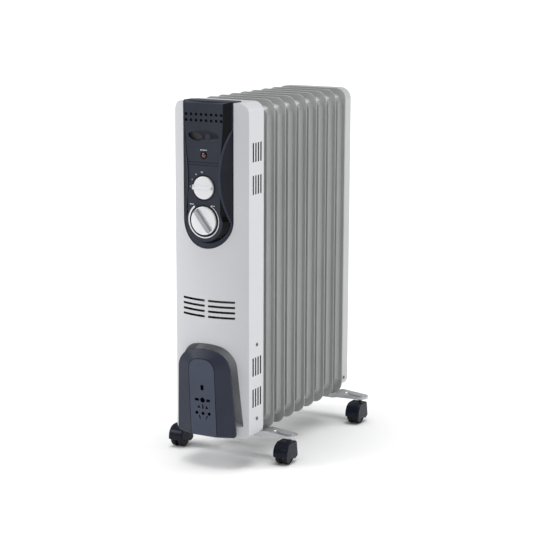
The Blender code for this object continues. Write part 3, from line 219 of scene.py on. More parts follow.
# --- Outlines in the XZ plane, made from a few corners --------------------------------------
def outline(mesh, corners, y, rounds=()):
    """A flat face through corners; rounds is a list of (corner numbers, radius, steps)."""
    known = set(mesh.faces)
    points = [mesh.verts.new((x, y, z)) for x, z in corners]
    mesh.faces.new(points)
    for numbers, radius, steps in rounds:
        bmesh.ops.bevel(mesh, geom=[points[i] for i in numbers], offset=radius,
                        offset_type="OFFSET", segments=steps, profile=0.5, affect="VERTICES",
                        material=-1, clamp_overlap=False)
    return (set(mesh.faces) - known).pop()


def panel_shape(half, low, high, low_radius, high_radius, steps=10):
    """A tall rectangle with round corners."""
    corners = [(-half, low), (half, low), (half, high), (-half, high)]

    def draw(mesh, y):
        rounds = [((0, 1), low_radius, steps), ((2, 3), high_radius, steps)]
        return outline(mesh, corners, y, rounds)
    return draw


def tongue_shape(half, centre, radius, top, flare=0.0, steps=28):
    """A strip with a square top, a half round lower end and, where flare is set, a waist."""
    shoulder, waist, brow = centre + radius * 0.35, 0.5300, 0.5920
    corners = [(-radius, centre - radius), (radius, centre - radius), (radius, centre + 0.0001),
               (half, shoulder), (half, waist), (half + flare, brow), (half + flare, top),
               (-half - flare, top), (-half - flare, brow), (-half, waist), (-half, shoulder),
               (-radius, centre + 0.0001)]

    def draw(mesh, y):
        return outline(mesh, corners, y, [((0, 1), radius * 0.9995, steps),
                                          ((4, 5, 8, 9), 0.022, 8)])
    return draw


def arch_shape(half_low, half_high, low, round_share, peak, corner=0.0, steps=18):
    """A tapering door shape under a low arch. round_share sets how round its shoulders are."""
    lift = half_high * 0.17
    corners = [(-half_low, low), (half_low, low), (half_high, peak - lift), (0, peak + lift * 0.24),
               (-half_high, peak - lift)]

    def draw(mesh, y):
        rounds = [((2, 4), half_high * round_share, steps), ((3,), half_high * 0.40, steps)]
        if corner:
            rounds.append(((0, 1), corner, 6))
        return outline(mesh, corners, y, rounds)
    return draw


def loft(*sections):
    """A closed solid through (shape, y) sections with equal numbers of corners."""
    mesh = bmesh.new()
    faces = [shape(mesh, y) for shape, y in sections]
    rings = [list(face.edges) for face in faces]
    if len(faces) > 2:
        bmesh.ops.delete(mesh, geom=faces[1:-1], context="FACES_ONLY")
    for near, far in zip(rings, rings[1:]):
        bmesh.ops.bridge_loops(mesh, edges=near + far)
    bmesh.ops.recalc_face_normals(mesh, faces=mesh.faces)
    return mesh


def slab(shape, front, back):
    return loft((shape, front), (shape, back))


def block(low, high):
    return slab(panel_shape_square(low[0], high[0], low[2], high[2]), low[1], high[1])


def panel_shape_square(left, right, low, high):
    corners = [(left, low), (right, low), (right, high), (left, high)]
    return lambda mesh, y: outline(mesh, corners, y)


def slot(left, right, low, high, radius, front, back, steps=4):
    """A cutter with round ends."""
    corners = [(left, low), (right, low), (right, high), (left, high)]
    return slab(lambda mesh, y: outline(mesh, corners, y, [((0, 1, 2, 3), radius, steps)]),
                front, back)


def disc(x, z, radius, front, back, steps=32):
    mesh = bmesh.new()
    bmesh.ops.create_cone(mesh, cap_ends=True, segments=steps, radius1=radius, radius2=radius,
                          depth=back - front)
    return moved(mesh, Matrix.Translation((x, (front + back) / 2, z))
                 @ Matrix.Rotation(math.radians(90), 4, "X"))


def drum(radius, centre, low, high, steps=420):
    """An upright cylinder that gives the bowed front its curve."""
    mesh = bmesh.new()
    bmesh.ops.create_cone(mesh, cap_ends=True, segments=steps, radius1=radius, radius2=radius,
                          depth=high - low)
    return moved(mesh, Matrix.Translation((0, centre, (low + high) / 2)))


def moved(mesh, matrix):
    bmesh.ops.transform(mesh, matrix=matrix, verts=mesh.verts)
    bmesh.ops.recalc_face_normals(mesh, faces=mesh.faces)
    return mesh


def turned_profile(profile, steps=64, closed=False):
    """A (radius, height) profile turned round Z. A closed one is a ring."""
    mesh = bmesh.new()
    points = [mesh.verts.new((r, 0, z)) for r, z in profile]
    pairs = list(zip(points, points[1:]))
    if closed:
        pairs.append((points[-1], points[0]))
    edges = [mesh.edges.new(pair) for pair in pairs]
    bmesh.ops.spin(mesh, geom=points + edges, cent=(0, 0, 0), axis=(0, 0, 1),
                   angle=math.tau, steps=steps, use_merge=True)
    bmesh.ops.remove_doubles(mesh, verts=mesh.verts, dist=1e-6)
    bmesh.ops.recalc_face_normals(mesh, faces=mesh.faces)
    return mesh


TO_FRONT = Matrix.Rotation(math.radians(90), 4, "X")      # +Z turns to -Y
TO_RIGHT = Matrix.Rotation(math.radians(90), 4, "Y")
TO_LEFT = Matrix.Rotation(math.radians(-90), 4, "Y")


# --- Pieces -------------------------------------------------------------------------------
def joined(name, solids, materials):
    """One mesh object that holds every solid as it stands."""
    data = bpy.data.meshes.new(name)
    whole = bmesh.new()
    for solid in solids:
        part = bpy.data.meshes.new("part")
        solid.to_mesh(part)
        whole.from_mesh(part)
        bpy.data.meshes.remove(part)
        solid.free()
    whole.to_mesh(data)
    whole.free()
    made = bpy.data.objects.new(name, data)
    for item in materials:
        data.materials.append(item)
    bpy.context.scene.collection.objects.link(made)
    return made


def combine(target, operation, solids, inner=None):
    """One Boolean; the cut faces take the inner finish, or else the piece's own."""
    helper = joined("helper", solids, [inner or target.data.materials[0]])
    return combine_with(target, operation, helper)


def combine_with(target, operation, helper):
    helper.hide_render = True
    step = target.modifiers.new("shape", "BOOLEAN")
    step.operation = operation
    step.solver = "EXACT"
    step.material_mode = "TRANSFER"
    step.object = helper
    return helper


def soften(target, width, steps=3, angle=28):
    step = target.modifiers.new("edges", "BEVEL")
    step.width = width
    step.segments = steps
    step.limit_method = "ANGLE"
    step.angle_limit = math.radians(angle)
    step.profile = 0.5
    step.use_clamp_overlap = True
    step.miter_outer = "MITER_ARC"


def settle(target, smooth=30):
    """The modifiers' result becomes the mesh, and the helpers go."""
    graph = bpy.context.evaluated_depsgraph_get()
    data = bpy.data.meshes.new_from_object(target.evaluated_get(graph))
    helpers = [step.object for step in target.modifiers if step.type == "BOOLEAN"]
    target.modifiers.clear()
    old, name = target.data, target.data.name
    target.data = data
    bpy.data.meshes.remove(old)
    data.name = name
    for helper in helpers:
        for step in helper.modifiers:
            if step.type == "BOOLEAN":
                bpy.data.objects.remove(step.object)
        bpy.data.objects.remove(helper)
    mesh = bmesh.new()
    mesh.from_mesh(data)
    bmesh.ops.remove_doubles(mesh, verts=mesh.verts, dist=2e-6)
    bmesh.ops.dissolve_degenerate(mesh, edges=mesh.edges, dist=1e-6)
    mesh.to_mesh(data)
    mesh.free()
    data.shade_smooth()
    data.set_sharp_from_angle(angle=math.radians(smooth))
    even = target.modifiers.new("normals", "WEIGHTED_NORMAL")
    even.keep_sharp = True
    even.weight = 50
    return target


def place(target, body, slot_name, *nodes):
    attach(target, body)
    if nodes:
        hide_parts(*nodes)
    return target


BODY = "heater_body"


# --- Front cover --------------------------------------------------------------------------
def pocket_shape(grow):
    return arch_shape(0.0650 + grow, 0.0515 + grow, 0.0765 - grow, 0.56, 0.2205 + grow)


def louvre_slots():
    cuts = []
    for row in range(4):
        middle = LOUVRE_TOP - row * LOUVRE_PITCH
        for side in (-1, 1):
            left, right = sorted((side * 0.0032, side * 0.0509))
            cuts.append(slot(left, right, middle - 0.0019, middle + 0.0019, 0.0011,
                             CROWN - 0.01, CROWN + 0.022))
    return cuts


def side_slots():
    cuts = []
    for height in SIDE_SLOT_HEIGHTS:
        for i in range(4):
            y = SIDE_SLOT_PLACE + (i - 1.5) * SIDE_SLOT_PITCH
            for side in (-1, 1):
                cut = slot(-0.0022, 0.0022, -0.0163, 0.0163, 0.0014, -0.006, 0.006)
                cuts.append(moved(cut, Matrix.Translation((side * HALF, y, height))
                                  @ Matrix.Rotation(math.radians(90), 4, "Z")))
    return cuts


def make_front_cover():
    low, high = cover_low.z, cover_high.z
    shell = joined("front_cover_shell", [drum(BOW_RADIUS, BOW_CENTRE, low - 0.02, high + 0.02)],
                   [enamel])
    combine(shell, "INTERSECT", [slab(panel_shape(HALF, low, high, 0.009, 0.018, 12),
                                      CROWN - 0.02, RIM + 0.02)])
    combine(shell, "DIFFERENCE", [loft((pocket_shape(0.0010), CROWN - 0.03),
                                       (pocket_shape(0.0004), CROWN + 0.006),
                                       (pocket_shape(-0.0034), POCKET_FLOOR))])
    soften(shell, 0.0020, 4)
    # The inside of the cover is near-black: painted shade seen through the slots.
    hollow = joined("hollow", [drum(BOW_RADIUS - WALL, BOW_CENTRE, low - 0.03, high + 0.03, 120)],
                    [painted_shade_inside])
    combine(hollow, "INTERSECT", [slab(panel_shape(HALF - WALL, low + WALL, high - WALL, 0.009,
                                                   0.0167, 8), CROWN - 0.02, RIM + 0.04)],
            painted_shade_inside)
    combine(hollow, "DIFFERENCE", [slab(pocket_shape(WALL), CROWN - 0.03,
                                        POCKET_FLOOR + WALL)], painted_shade_inside)
    combine_with(shell, "DIFFERENCE", hollow)
    combine(shell, "DIFFERENCE", [block((-FAR, RIM, 0), (FAR, RIM + 0.1, 1))])
    combine(shell, "DIFFERENCE", [slab(tongue_shape(PANEL_HALF + 0.0006, DIAL_HEIGHT,
                                                    PANEL_HALF + 0.0006, PANEL_TOP + 0.001),
                                       CROWN - 0.03, panel_high.y + 0.0006)])
    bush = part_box("cord_inlet_bush")
    middle = (bush[0] + bush[1]) / 2
    # The louvre and side slot walls and the cord hole take the near-black inside finish: painted
    # shade in the slots.
    combine(shell, "DIFFERENCE", louvre_slots() + side_slots()
            + [disc(middle.x, middle.z, 0.0058, POCKET_FLOOR - 0.004, POCKET_FLOOR + 0.004)],
            painted_shade_inside)
    soften(shell, 0.00035, 2, 35)
    settle(shell)
    place(shell, BODY, "white_enamel", "front_cover")


# --- Control panel ------------------------------------------------------------------------
def platform(shift):
    """The raised middle of the panel, moved forward by shift."""
    face = tongue_shape(0.0312, DIAL_HEIGHT, 0.0360, PANEL_TOP - 0.003, 0.0058)
    root = tongue_shape(0.0415, DIAL_HEIGHT, ROOT_HALF, PANEL_TOP, 0.0040)
    return loft((face, FACE - shift), (root, ROOT - shift), (root, ROOT + 0.002 - shift))


def rim_drum(shift, steps=420):
    """The bow of the panel's rim, moved forward by shift."""
    return drum(BOW_RADIUS - RIM_SINK, BOW_CENTRE - shift, 0.3, PANEL_TOP + 0.02, steps)


def panel_outline(grow):
    return tongue_shape(PANEL_HALF + grow, DIAL_HEIGHT, PANEL_HALF + grow, PANEL_TOP)


def paint_flank_reflection(panel):
    """The platform's sloping sides and a band round the dial's foot take the glossy black: a
    painted dark reflection.
    """
    panel.data.materials.append(black_and_painted_reflection)
    black = len(panel.data.materials) - 1
    for face in panel.data.polygons:
        spot, normal = face.center, face.normal
        flank = abs(normal.x) > 0.42 and 0.0315 < abs(spot.x) < 0.0440 and spot.z > 0.42
        around = math.hypot(spot.x, spot.z - DIAL_HEIGHT)
        foot = spot.z <= 0.42 and 0.0355 < around < 0.0435 and normal.y > -0.9
        if (flank or foot) and spot.y < CROWN + 0.006:
            face.material_index = black


def make_control_panel():
    back = panel_high.y
    panel = joined("control_panel_hood", [rim_drum(0)], [slate, gloss_slate])
    combine(panel, "INTERSECT", [slab(panel_outline(0), CROWN - 0.03, back)])
    combine(panel, "UNION", [platform(0)], gloss_slate)
    soften(panel, 0.0011, 4, 20)
    inside = joined("inside", [rim_drum(-PANEL_WALL, 90)], [painted_shade_inside])
    inner = tongue_shape(PANEL_HALF - PANEL_WALL, DIAL_HEIGHT, PANEL_HALF - PANEL_WALL,
                         PANEL_TOP - PANEL_WALL)
    combine(inside, "INTERSECT", [slab(inner, CROWN - 0.03, back + 0.01)], painted_shade_inside)
    face = tongue_shape(0.0290, DIAL_HEIGHT, 0.0338, PANEL_TOP - 0.0052, 0.0058)
    root = tongue_shape(0.0393, DIAL_HEIGHT, 0.0408, PANEL_TOP - PANEL_WALL, 0.0040)
    combine(inside, "UNION", [loft((face, FACE + PANEL_WALL), (root, ROOT + PANEL_WALL),
                                   (root, ROOT + PANEL_WALL + 0.004))], painted_shade_inside)
    combine_with(panel, "DIFFERENCE", inside)
    combine(panel, "DIFFERENCE", [block((-0.08, CROWN + 0.016, DIAL_HEIGHT - 0.08),
                                        (0.08, back + 0.03, cover_high.z - 0.018))])
    holes = []
    for height in VENT_HEIGHTS:
        for i in range(8):
            holes.append(disc((i - 3.5) * VENT_PITCH, height, VENT_RADIUS, FACE - 0.01,
                              CROWN + 0.012, 20))
    for radius, height in ((0.0046, LAMP_HEIGHT), (0.0034, SELECTOR_HEIGHT),
                           (0.0034, DIAL_HEIGHT)):
        holes.append(disc(0, height, radius, FACE - 0.01, CROWN + 0.012, 28))
    # The holes' walls take the black finish: painted shade inside them.
    combine(panel, "DIFFERENCE", holes, black_and_recess_shade)
    grip = bmesh.new()
    bmesh.ops.create_uvsphere(grip, u_segments=64, v_segments=32, radius=1)
    moved(grip, Matrix.Translation((0, FACE - 0.0016, GRIP_HEIGHT))
          @ Matrix.Diagonal((0.0330, 0.0036, 0.0105, 1)))
    scoop = bmesh.new()
    bmesh.ops.create_uvsphere(scoop, u_segments=48, v_segments=24, radius=1)
    moved(scoop, Matrix.Translation((-0.0165, FACE + 0.0010, 0.5745))
          @ Matrix.Rotation(math.radians(14), 4, "Y")
          @ Matrix.Diagonal((0.0135, 0.0080, 0.0066, 1)))
    combine(panel, "DIFFERENCE", [scoop], black_and_recess_shade)
    # The knob beds, finger recess and seams take the black finish: painted shade rings and lines.
    sinks = [grip,
             disc(0, SELECTOR_HEIGHT, 0.0222, FACE - 0.01, FACE + KNOB_SINK, 64),
             disc(0, DIAL_HEIGHT, 0.0268, FACE - 0.01, FACE + KNOB_SINK, 72)]
    for height in SEAM_HEIGHTS:
        sinks.append(slot(-0.0290, 0.0290, height - 0.0005, height + 0.0005, 0.0003,
                          FACE - 0.01, FACE + 0.0008, 2))
    combine(panel, "DIFFERENCE", sinks, black_and_recess_shade)
    soften(panel, 0.00025, 2, 40)
    settle(panel)
    paint_flank_reflection(panel)
    place(panel, BODY, "charcoal_plastic", "control_panel")

    boss = turned_profile([(0, 0), (0.0055, 0), (0.0055, 0.0008), (0.0049, 0.0014),
                           (0, 0.0018)], 40)
    button = joined("grip_boss", [moved(boss, Matrix.Translation((0.0076, FACE + 0.0020, 0.5747))
                                        @ TO_FRONT)], [slate])
    settle(button)
    place(button, BODY, "charcoal_plastic")


def make_vent_shade_pad():
    """Dark pad behind the panel's vent holes and finger recess: painted shade seen through the
    holes.
    """
    pad = joined("vent_shade_pad", [block((-0.0330, FACE + 0.0060, 0.5580),
                                       (0.0330, FACE + 0.0072, 0.5935)),
                                 block((-0.0370, FACE + 0.0060, 0.5950),
                                       (0.0370, FACE + 0.0072, 0.6190))], [painted_shade_inside])
    soften(pad, 0.0004, 2)
    settle(pad)
    place(pad, BODY, "matte_black_plastic")


def band(name, side, inner_radius, outer_radius, gap, thickness, material, ribs=0, node=None):
    """Inlay on the panel's flank, between two arcs about a centre out to the side."""
    front, back = CROWN - 0.03, panel_high.y
    centre = Vector((side * STRIP_CENTRE[0], 0, STRIP_CENTRE[1]))
    inlay = joined(name, [rim_drum(gap + thickness)], [material])
    combine(inlay, "UNION", [platform(gap + thickness)])
    combine(inlay, "INTERSECT", [slab(panel_outline(-0.0010), front, back)])
    combine(inlay, "INTERSECT", [disc(centre.x, centre.z, outer_radius, front, back, 360)])
    if inner_radius:
        combine(inlay, "DIFFERENCE", [disc(centre.x, centre.z, inner_radius, front - 0.01,
                                           back + 0.01, 360)])
    combine(inlay, "DIFFERENCE", [rim_drum(gap)])
    combine(inlay, "DIFFERENCE", [platform(gap)])
    if ribs:
        cuts = []
        middle = (outer_radius + inner_radius) / 2
        for i in range(ribs):
            angle = math.radians(-33 + 72 * i / (ribs - 1))
            cut = block((-0.003, front, -0.00042), (0.003, back, 0.00042))
            spot = centre + Vector((-side * middle * math.cos(angle), 0,
                                    middle * math.sin(angle)))
            cuts.append(moved(cut, Matrix.Translation(spot)
                              @ Matrix.Rotation(side * angle + math.radians(35), 4, "Y")))
        combine(inlay, "DIFFERENCE", cuts)
    soften(inlay, 0.00022, 2, 40)
    settle(inlay)
    place(inlay, BODY, "matte_black_plastic", *([node] if node else []))


def make_inserts():
    for side, hand in ((-1, "left"), (1, "right")):
        band(f"flank_inlay_{hand}", side, 0, INLAY_RADIUS, GAP, 0.0014, black_and_recess_shade,
             node=f"side_insert_{hand}")
        # The ribbed strips take the paler charcoal: painted highlight along the ribs.
        band(f"ribbed_strip_{hand}", side, *STRIP_RADII, GAP, 0.0019, pale_slate, RIBS)


# --- Knobs, lamp and printed marks ----------------------------------------------------------
def make_knobs():
    back = FACE + KNOB_SINK - GAP
    rim = 0.0040
    for name, height, radius in (("selector", SELECTOR_HEIGHT, SELECTOR_RADIUS),
                                 ("thermostat", DIAL_HEIGHT, DIAL_RADIUS)):
        axis = Matrix.Translation((0, back, height))
        edge = 0.0016
        profile = [(0, 0), (radius - 0.0004, 0), (radius, 0.0004), (radius, rim - edge)]
        for i in range(1, 6):
            angle = math.radians(18 * i)
            profile.append((radius - edge * (1 - math.cos(angle)),
                            rim - edge + edge * math.sin(angle)))
        profile += [(radius * 0.80, rim + 0.0003), (radius * 0.4, rim + 0.0006),
                    (0, rim + 0.0007)]
        knob = joined(f"{name}_cap", [moved(turned_profile(profile, 96), axis @ TO_FRONT)],
                      [silver])
        if name == "selector":
            ridge = loft(
                (panel_shape_square(-radius + 0.0010, radius * 0.90, -0.0011, 0.0011),
                 -rim - 0.0050),
                (panel_shape_square(-radius - 0.0028, radius * 0.97, -0.0044, 0.0044), -0.002))
            combine(knob, "UNION", [moved(ridge, axis)])
            soften(knob, 0.0007, 3, 30)
        else:
            turn = Matrix.Rotation(math.radians(DIAL_TURN), 4, "Y")
            trench = []
            for side in (-1, 1):
                cut = slot(-radius * 0.80, radius * 0.80, side * 0.0062 - 0.0005,
                           side * 0.0062 + 0.0005, 0.0004, -rim - 0.01, -rim + 0.0006)
                trench.append(moved(cut, axis @ turn))
            combine(knob, "DIFFERENCE", trench)
            bar = loft((panel_shape_square(-radius * 0.90, radius * 0.90, -0.0031, 0.0031),
                        -rim - 0.0055),
                       (panel_shape_square(-radius * 0.93, radius * 0.93, -0.0050, 0.0050),
                        -0.002))
            # The grip bar takes the grey finish: painted shade along the bar.
            combine(knob, "UNION", [moved(bar, axis @ turn)], bar_painted_shade)
            soften(knob, 0.0007, 3, 30)
        settle(knob, 25)
        place(knob, name, "silver_knob", f"{name}_knob")


def make_lamp():
    low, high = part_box("pilot_lamp")
    middle = (low + high) / 2
    dome = turned_profile([(0, 0), (0.0042, 0), (0.0042, 0.0030), (0.0040, 0.0036),
                           (0.0032, 0.0042), (0.0018, 0.0046), (0, 0.0047)], 40)
    lamp = joined("pilot_lens", [moved(dome, Matrix.Translation(
        (middle.x, low.y + 0.0047, middle.z)) @ TO_FRONT)], [lens])
    settle(lamp)
    place(lamp, BODY, "lamp_lens", "pilot_lamp")
    collar = turned_profile([(0.0047, 0), (0.0064, 0), (0.0064, 0.0005), (0.0058, 0.0011),
                             (0.0050, 0.0011), (0.0047, 0.0007)], 40, closed=True)
    ring_piece = joined("lamp_collar", [moved(collar, Matrix.Translation(
        (middle.x, FACE + 0.0001, middle.z)) @ TO_FRONT)], [black_and_painted_reflection])
    settle(ring_piece)
    place(ring_piece, BODY, "charcoal_plastic")


def arc_band(radius, start, end, wide_start, wide_end, steps=60):
    """A flat crescent round the dial, facing forward, made by turning its edge line."""
    mesh = bmesh.new()
    inner = mesh.verts.new((radius, 0, 0))
    outer = mesh.verts.new((radius + wide_start, 0, 0))
    line = mesh.edges.new((inner, outer))
    bmesh.ops.spin(mesh, geom=[inner, outer, line], cent=(0, 0, 0), axis=(0, -1, 0),
                   angle=math.radians(end - start), steps=steps)
    for vert in mesh.verts:
        reach = Vector((vert.co.x, vert.co.z))
        if reach.length > radius + wide_start / 2:
            share = (math.degrees(math.atan2(vert.co.z, vert.co.x)) % 360) / (end - start)
            wanted = radius + wide_start + (wide_end - wide_start) * min(share, 1)
            vert.co *= wanted / reach.length
    made = bmesh.ops.extrude_face_region(mesh, geom=mesh.faces[:])
    bmesh.ops.translate(mesh, vec=(0, MARK, 0),
                        verts=[v for v in made["geom"] if isinstance(v, bmesh.types.BMVert)])
    bmesh.ops.recalc_face_normals(mesh, faces=mesh.faces)
    return moved(mesh, Matrix.Rotation(-math.radians(start), 4, "Y"))


def make_prints():
    front = FACE - MARK / 2
    ring = 0.0263
    marks = []
    for bars, angle in enumerate((178, 151, 125, 98)):
        x = ring * math.cos(math.radians(angle))
        z = SELECTOR_HEIGHT + ring * math.sin(math.radians(angle))
        if not bars:
            marks.append(disc(x, z, 0.0008, front, front + MARK, 20))
        for i in range(bars):
            left = x + (i - (bars - 1) / 2) * 0.0012
            marks.append(slot(left - 0.00032, left + 0.00032, z - 0.0011, z + 0.0011, 0.0002,
                              front, front + MARK, 2))
    for i in range(5):
        x = -0.0066 + i * 0.0027
        marks.append(slot(x, x + 0.0017, 0.5515, 0.5530, 0.0004, front, front + MARK, 3))
    for x, z in ((-0.0238, 0.4601), (0.0175, 0.4594)):
        for i in range(3):
            left = x - 0.0036 + i * 0.0026
            marks.append(slot(left, left + 0.0016, z - 0.0007, z + 0.0007, 0.0003, front,
                              front + MARK, 3))
    arc = arc_band(0.0280, 128, 424, 0.0030, 0.0006)
    marks.append(moved(arc, Matrix.Translation((0, front, DIAL_HEIGHT))))
    prints = joined("panel_print", marks, [print_white])
    settle(prints)
    place(prints, BODY, "silver_knob")


# --- Cord store plate ---------------------------------------------------------------------
def plug_hole_cutters():
    front, back = CROWN - 0.04, CROWN + 0.002
    cuts = []

    def bar(x, z, half_x, half_z, turn=0.0):
        cut = slot(-half_x, half_x, -half_z, half_z, min(half_x, half_z) * 0.35, front, back, 2)
        cuts.append(moved(cut, Matrix.Translation((x, 0, z))
                          @ Matrix.Rotation(-turn, 4, "Y")))

    bar(0, 0.1463, 0.0030, 0.0046)
    for side in (-1, 1):
        bar(side * 0.0112, PLUG_HEIGHT, 0.0040, 0.0024)
        bar(side * 0.0068, 0.0930, 0.0011, 0.0034, -side * math.radians(25))
        cuts.append(disc(side * 0.0124, 0.1002, 0.0030, front, back, 24))
        cuts.append(disc(side * 0.0078, 0.1109, 0.0036, front, back, 3))
    bar(0, 0.1124, 0.0013, 0.0042)
    cuts.append(disc(0, PLUG_HEIGHT, 0.0046, front, back, 28))
    cuts.append(disc(0, 0.1000, 0.0030, front, back, 24))
    return cuts


def make_plate():
    rim_face = CROWN - 0.0034
    pivot = PLATE_FOOT + (PLATE_TOP - PLATE_FOOT) * 0.35
    lean = (Matrix.Translation((0, rim_face, pivot))
            @ Matrix.Rotation(math.radians(PLATE_LEAN), 4, "X")
            @ Matrix.Translation((0, 0, -pivot)))

    def sections(grow, back):
        rim = arch_shape(0.0580 + grow, 0.0500 + grow, PLATE_FOOT - grow, 0.52,
                         PLATE_TOP + grow, 0.006)
        face = arch_shape(0.0252 + grow, 0.0252 + grow, PLATE_FOOT - grow, 0.60,
                          0.1985 + grow, 0.002)
        return (face, -0.0100 + back), (rim, back), (rim, back + 0.0028)

    plate = joined("cord_plate_face", [moved(loft(*sections(0, 0)), lean)], [slate])
    soften(plate, 0.0011, 4, 14)
    combine(plate, "DIFFERENCE", [moved(loft(*sections(-0.0028, 0.0028)), lean)])
    # A thin groove with black walls round the plate's raised middle: a painted shade line.
    groove = joined("groove", [moved(slab(arch_shape(0.0260, 0.0260, 0.0590, 0.60, 0.1993),
                                          -0.02, -0.0088), lean)], [black_and_recess_shade])
    combine(groove, "DIFFERENCE", [moved(slab(arch_shape(0.0250, 0.0250, 0.0500, 0.60,
                                                         0.1983), -0.03, 0.01), lean)], black_and_recess_shade)
    combine_with(plate, "DIFFERENCE", groove)
    combine(plate, "UNION", [moved(slab(panel_shape(0.0230, 0.0920, 0.1680, 0.008, 0.012),
                                        -0.0083, 0.06), lean)])
    combine(plate, "DIFFERENCE", [moved(slab(panel_shape(0.0202, 0.0948, 0.1652, 0.006, 0.010),
                                             -0.0072, 0.07), lean)], painted_shade_inside)
    combine(plate, "DIFFERENCE", [block((-0.1, POCKET_FLOOR - GAP, 0), (0.1, 0.05, 0.3))])
    combine(plate, "DIFFERENCE", [drum(BOW_RADIUS, BOW_CENTRE - 0.0008, 0.02, 0.0795, 240)])
    combine(plate, "DIFFERENCE", plug_hole_cutters(), black_and_recess_shade)
    soften(plate, 0.00035, 2, 40)
    settle(plate)
    plate.data.materials.append(pale_slate)
    flat = lean.inverted()
    for face in plate.data.polygons:
        if (flat @ face.center).y < -0.0096:
            face.material_index = len(plate.data.materials) - 1
    place(plate, BODY, "charcoal_plastic", "cord_store_plate")


# --- Fins and rear cover --------------------------------------------------------------------
def fin_mesh():
    """Welded rim round two upright oil channels that meet at the headers."""
    low, high = first_low.z, first_high.z
    rim = panel_shape(HALF, low, high, 0.020, 0.020)
    foot = panel_shape(HALF - 0.0065, low + 0.0135, high - 0.0115, 0.016, 0.016)
    top = panel_shape(HALF - 0.0105, low + 0.0175, high - 0.0155, 0.014, 0.014)
    return loft((top, -0.0100), (foot, -0.0010), (rim, -0.0010), (rim, 0.0010),
                (foot, 0.0010), (top, 0.0100))


def fin_dip(side):
    """The pressed middle, where the two sheets nearly meet."""
    mouth = panel_shape(0.0200, 0.1170, 0.5570, 0.013, 0.013)
    floor = panel_shape(0.0150, 0.1220, 0.5520, 0.010, 0.010)
    return loft((floor, side * 0.0030), (mouth, side * 0.0110))


def make_fins():
    for index in range(9):
        low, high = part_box(f"fin_{index + 1}")
        middle = FIRST_FIN + index * FIN_PITCH
        # The fins take the darker enamel: painted shade between them.
        rib = joined(f"fin_panel_{index + 1}", [fin_mesh()], [fin_painted_shade_enamel])
        combine(rib, "DIFFERENCE", [fin_dip(-1), fin_dip(1)])
        soften(rib, 0.0009, 3, 40)
        combine(rib, "UNION", [disc(0, height, HEADER_RADIUS, low.y - middle, high.y - middle,
                                    48) for height in HEADERS])
        settle(rib, 35)
        rib.data.transform(Matrix.Translation((0, middle, 0)))
        place(rib, BODY, "white_enamel", f"fin_{index + 1}")


def make_rear_cover():
    rim_y, back = rear_low.y, rear_high.y
    low, high = rear_low.z, rear_high.z
    edge = 0.012

    def sections(inset, front, steps=10):
        curve = edge - inset
        made = [(panel_shape(HALF - inset, low + inset, high - inset, 0.012, 0.020), front)]
        for i in range(steps + 1):
            angle = math.pi / 2 * i / steps
            shrink = curve * (1 - math.cos(angle))
            shape = panel_shape(HALF - inset - shrink, low + inset + shrink * 0.6,
                                high - inset - shrink, 0.012, 0.020)
            made.append((shape, back - inset - curve + curve * math.sin(angle)))
        return made

    pan = joined("rear_cover_shell", [loft(*sections(0, rim_y))], [pan_enamel])
    combine(pan, "DIFFERENCE", [loft(*sections(WALL, rim_y - 0.01))], painted_shade_inside)
    combine(pan, "DIFFERENCE", [block((-HALF + 0.012, rim_y - 0.005, low - 0.01),
                                      (HALF - 0.012, back - 0.0125, low + 0.006))])
    soften(pan, 0.0004, 2, 45)
    settle(pan, 35)
    place(pan, BODY, "white_enamel", "end_cover")


# --- Feet ---------------------------------------------------------------------------------
def foot_rise(x):
    """How far the foot's top is above its middle part."""
    reach = abs(x)
    knee = min(max((reach - KNEE[0]) / 0.0080, 0), 1)
    fall = min(max((reach - KNEE[1]) / (STEM - KNEE[1]), 0), 1)
    return 0.0021 * knee - 0.0040 * fall


def foot_bar(inset, top, depth, tip_depth):
    """A long bar with round ends, bent to the foot's line. The skirt is shallower at the tips."""
    mesh = bmesh.new()
    half = 0.0150 - inset
    reach = STEM + 0.0149 - inset
    corners = [(-reach, -half), (reach, -half), (reach, half), (-reach, half)]
    outline(mesh, corners, 0, [((0, 1, 2, 3), half * 0.999, 14)])
    made = bmesh.ops.extrude_face_region(mesh, geom=mesh.faces[:])
    bmesh.ops.translate(mesh, vec=(0, 1, 0),
                        verts=[v for v in made["geom"] if isinstance(v, bmesh.types.BMVert)])
    for x in (0.0, 0.050, KNEE[0], 0.060, KNEE[1], 0.072, 0.085, 0.098):
        for side in (-1, 1) if x else (1,):
            bmesh.ops.bisect_plane(mesh, geom=mesh.verts[:] + mesh.edges[:] + mesh.faces[:],
                                   plane_co=(side * x, 0, 0), plane_no=(1, 0, 0))
    bmesh.ops.transform(mesh, matrix=TO_FRONT, verts=mesh.verts)
    for vert in mesh.verts:
        share = min(max((abs(vert.co.x) - KNEE[1]) / (STEM - KNEE[1]), 0), 1)
        drop = depth + (tip_depth - depth) * share if vert.co.z > 0.5 else 0.0
        vert.co.z = top + foot_rise(vert.co.x) - drop
    bmesh.ops.recalc_face_normals(mesh, faces=mesh.faces)
    return mesh


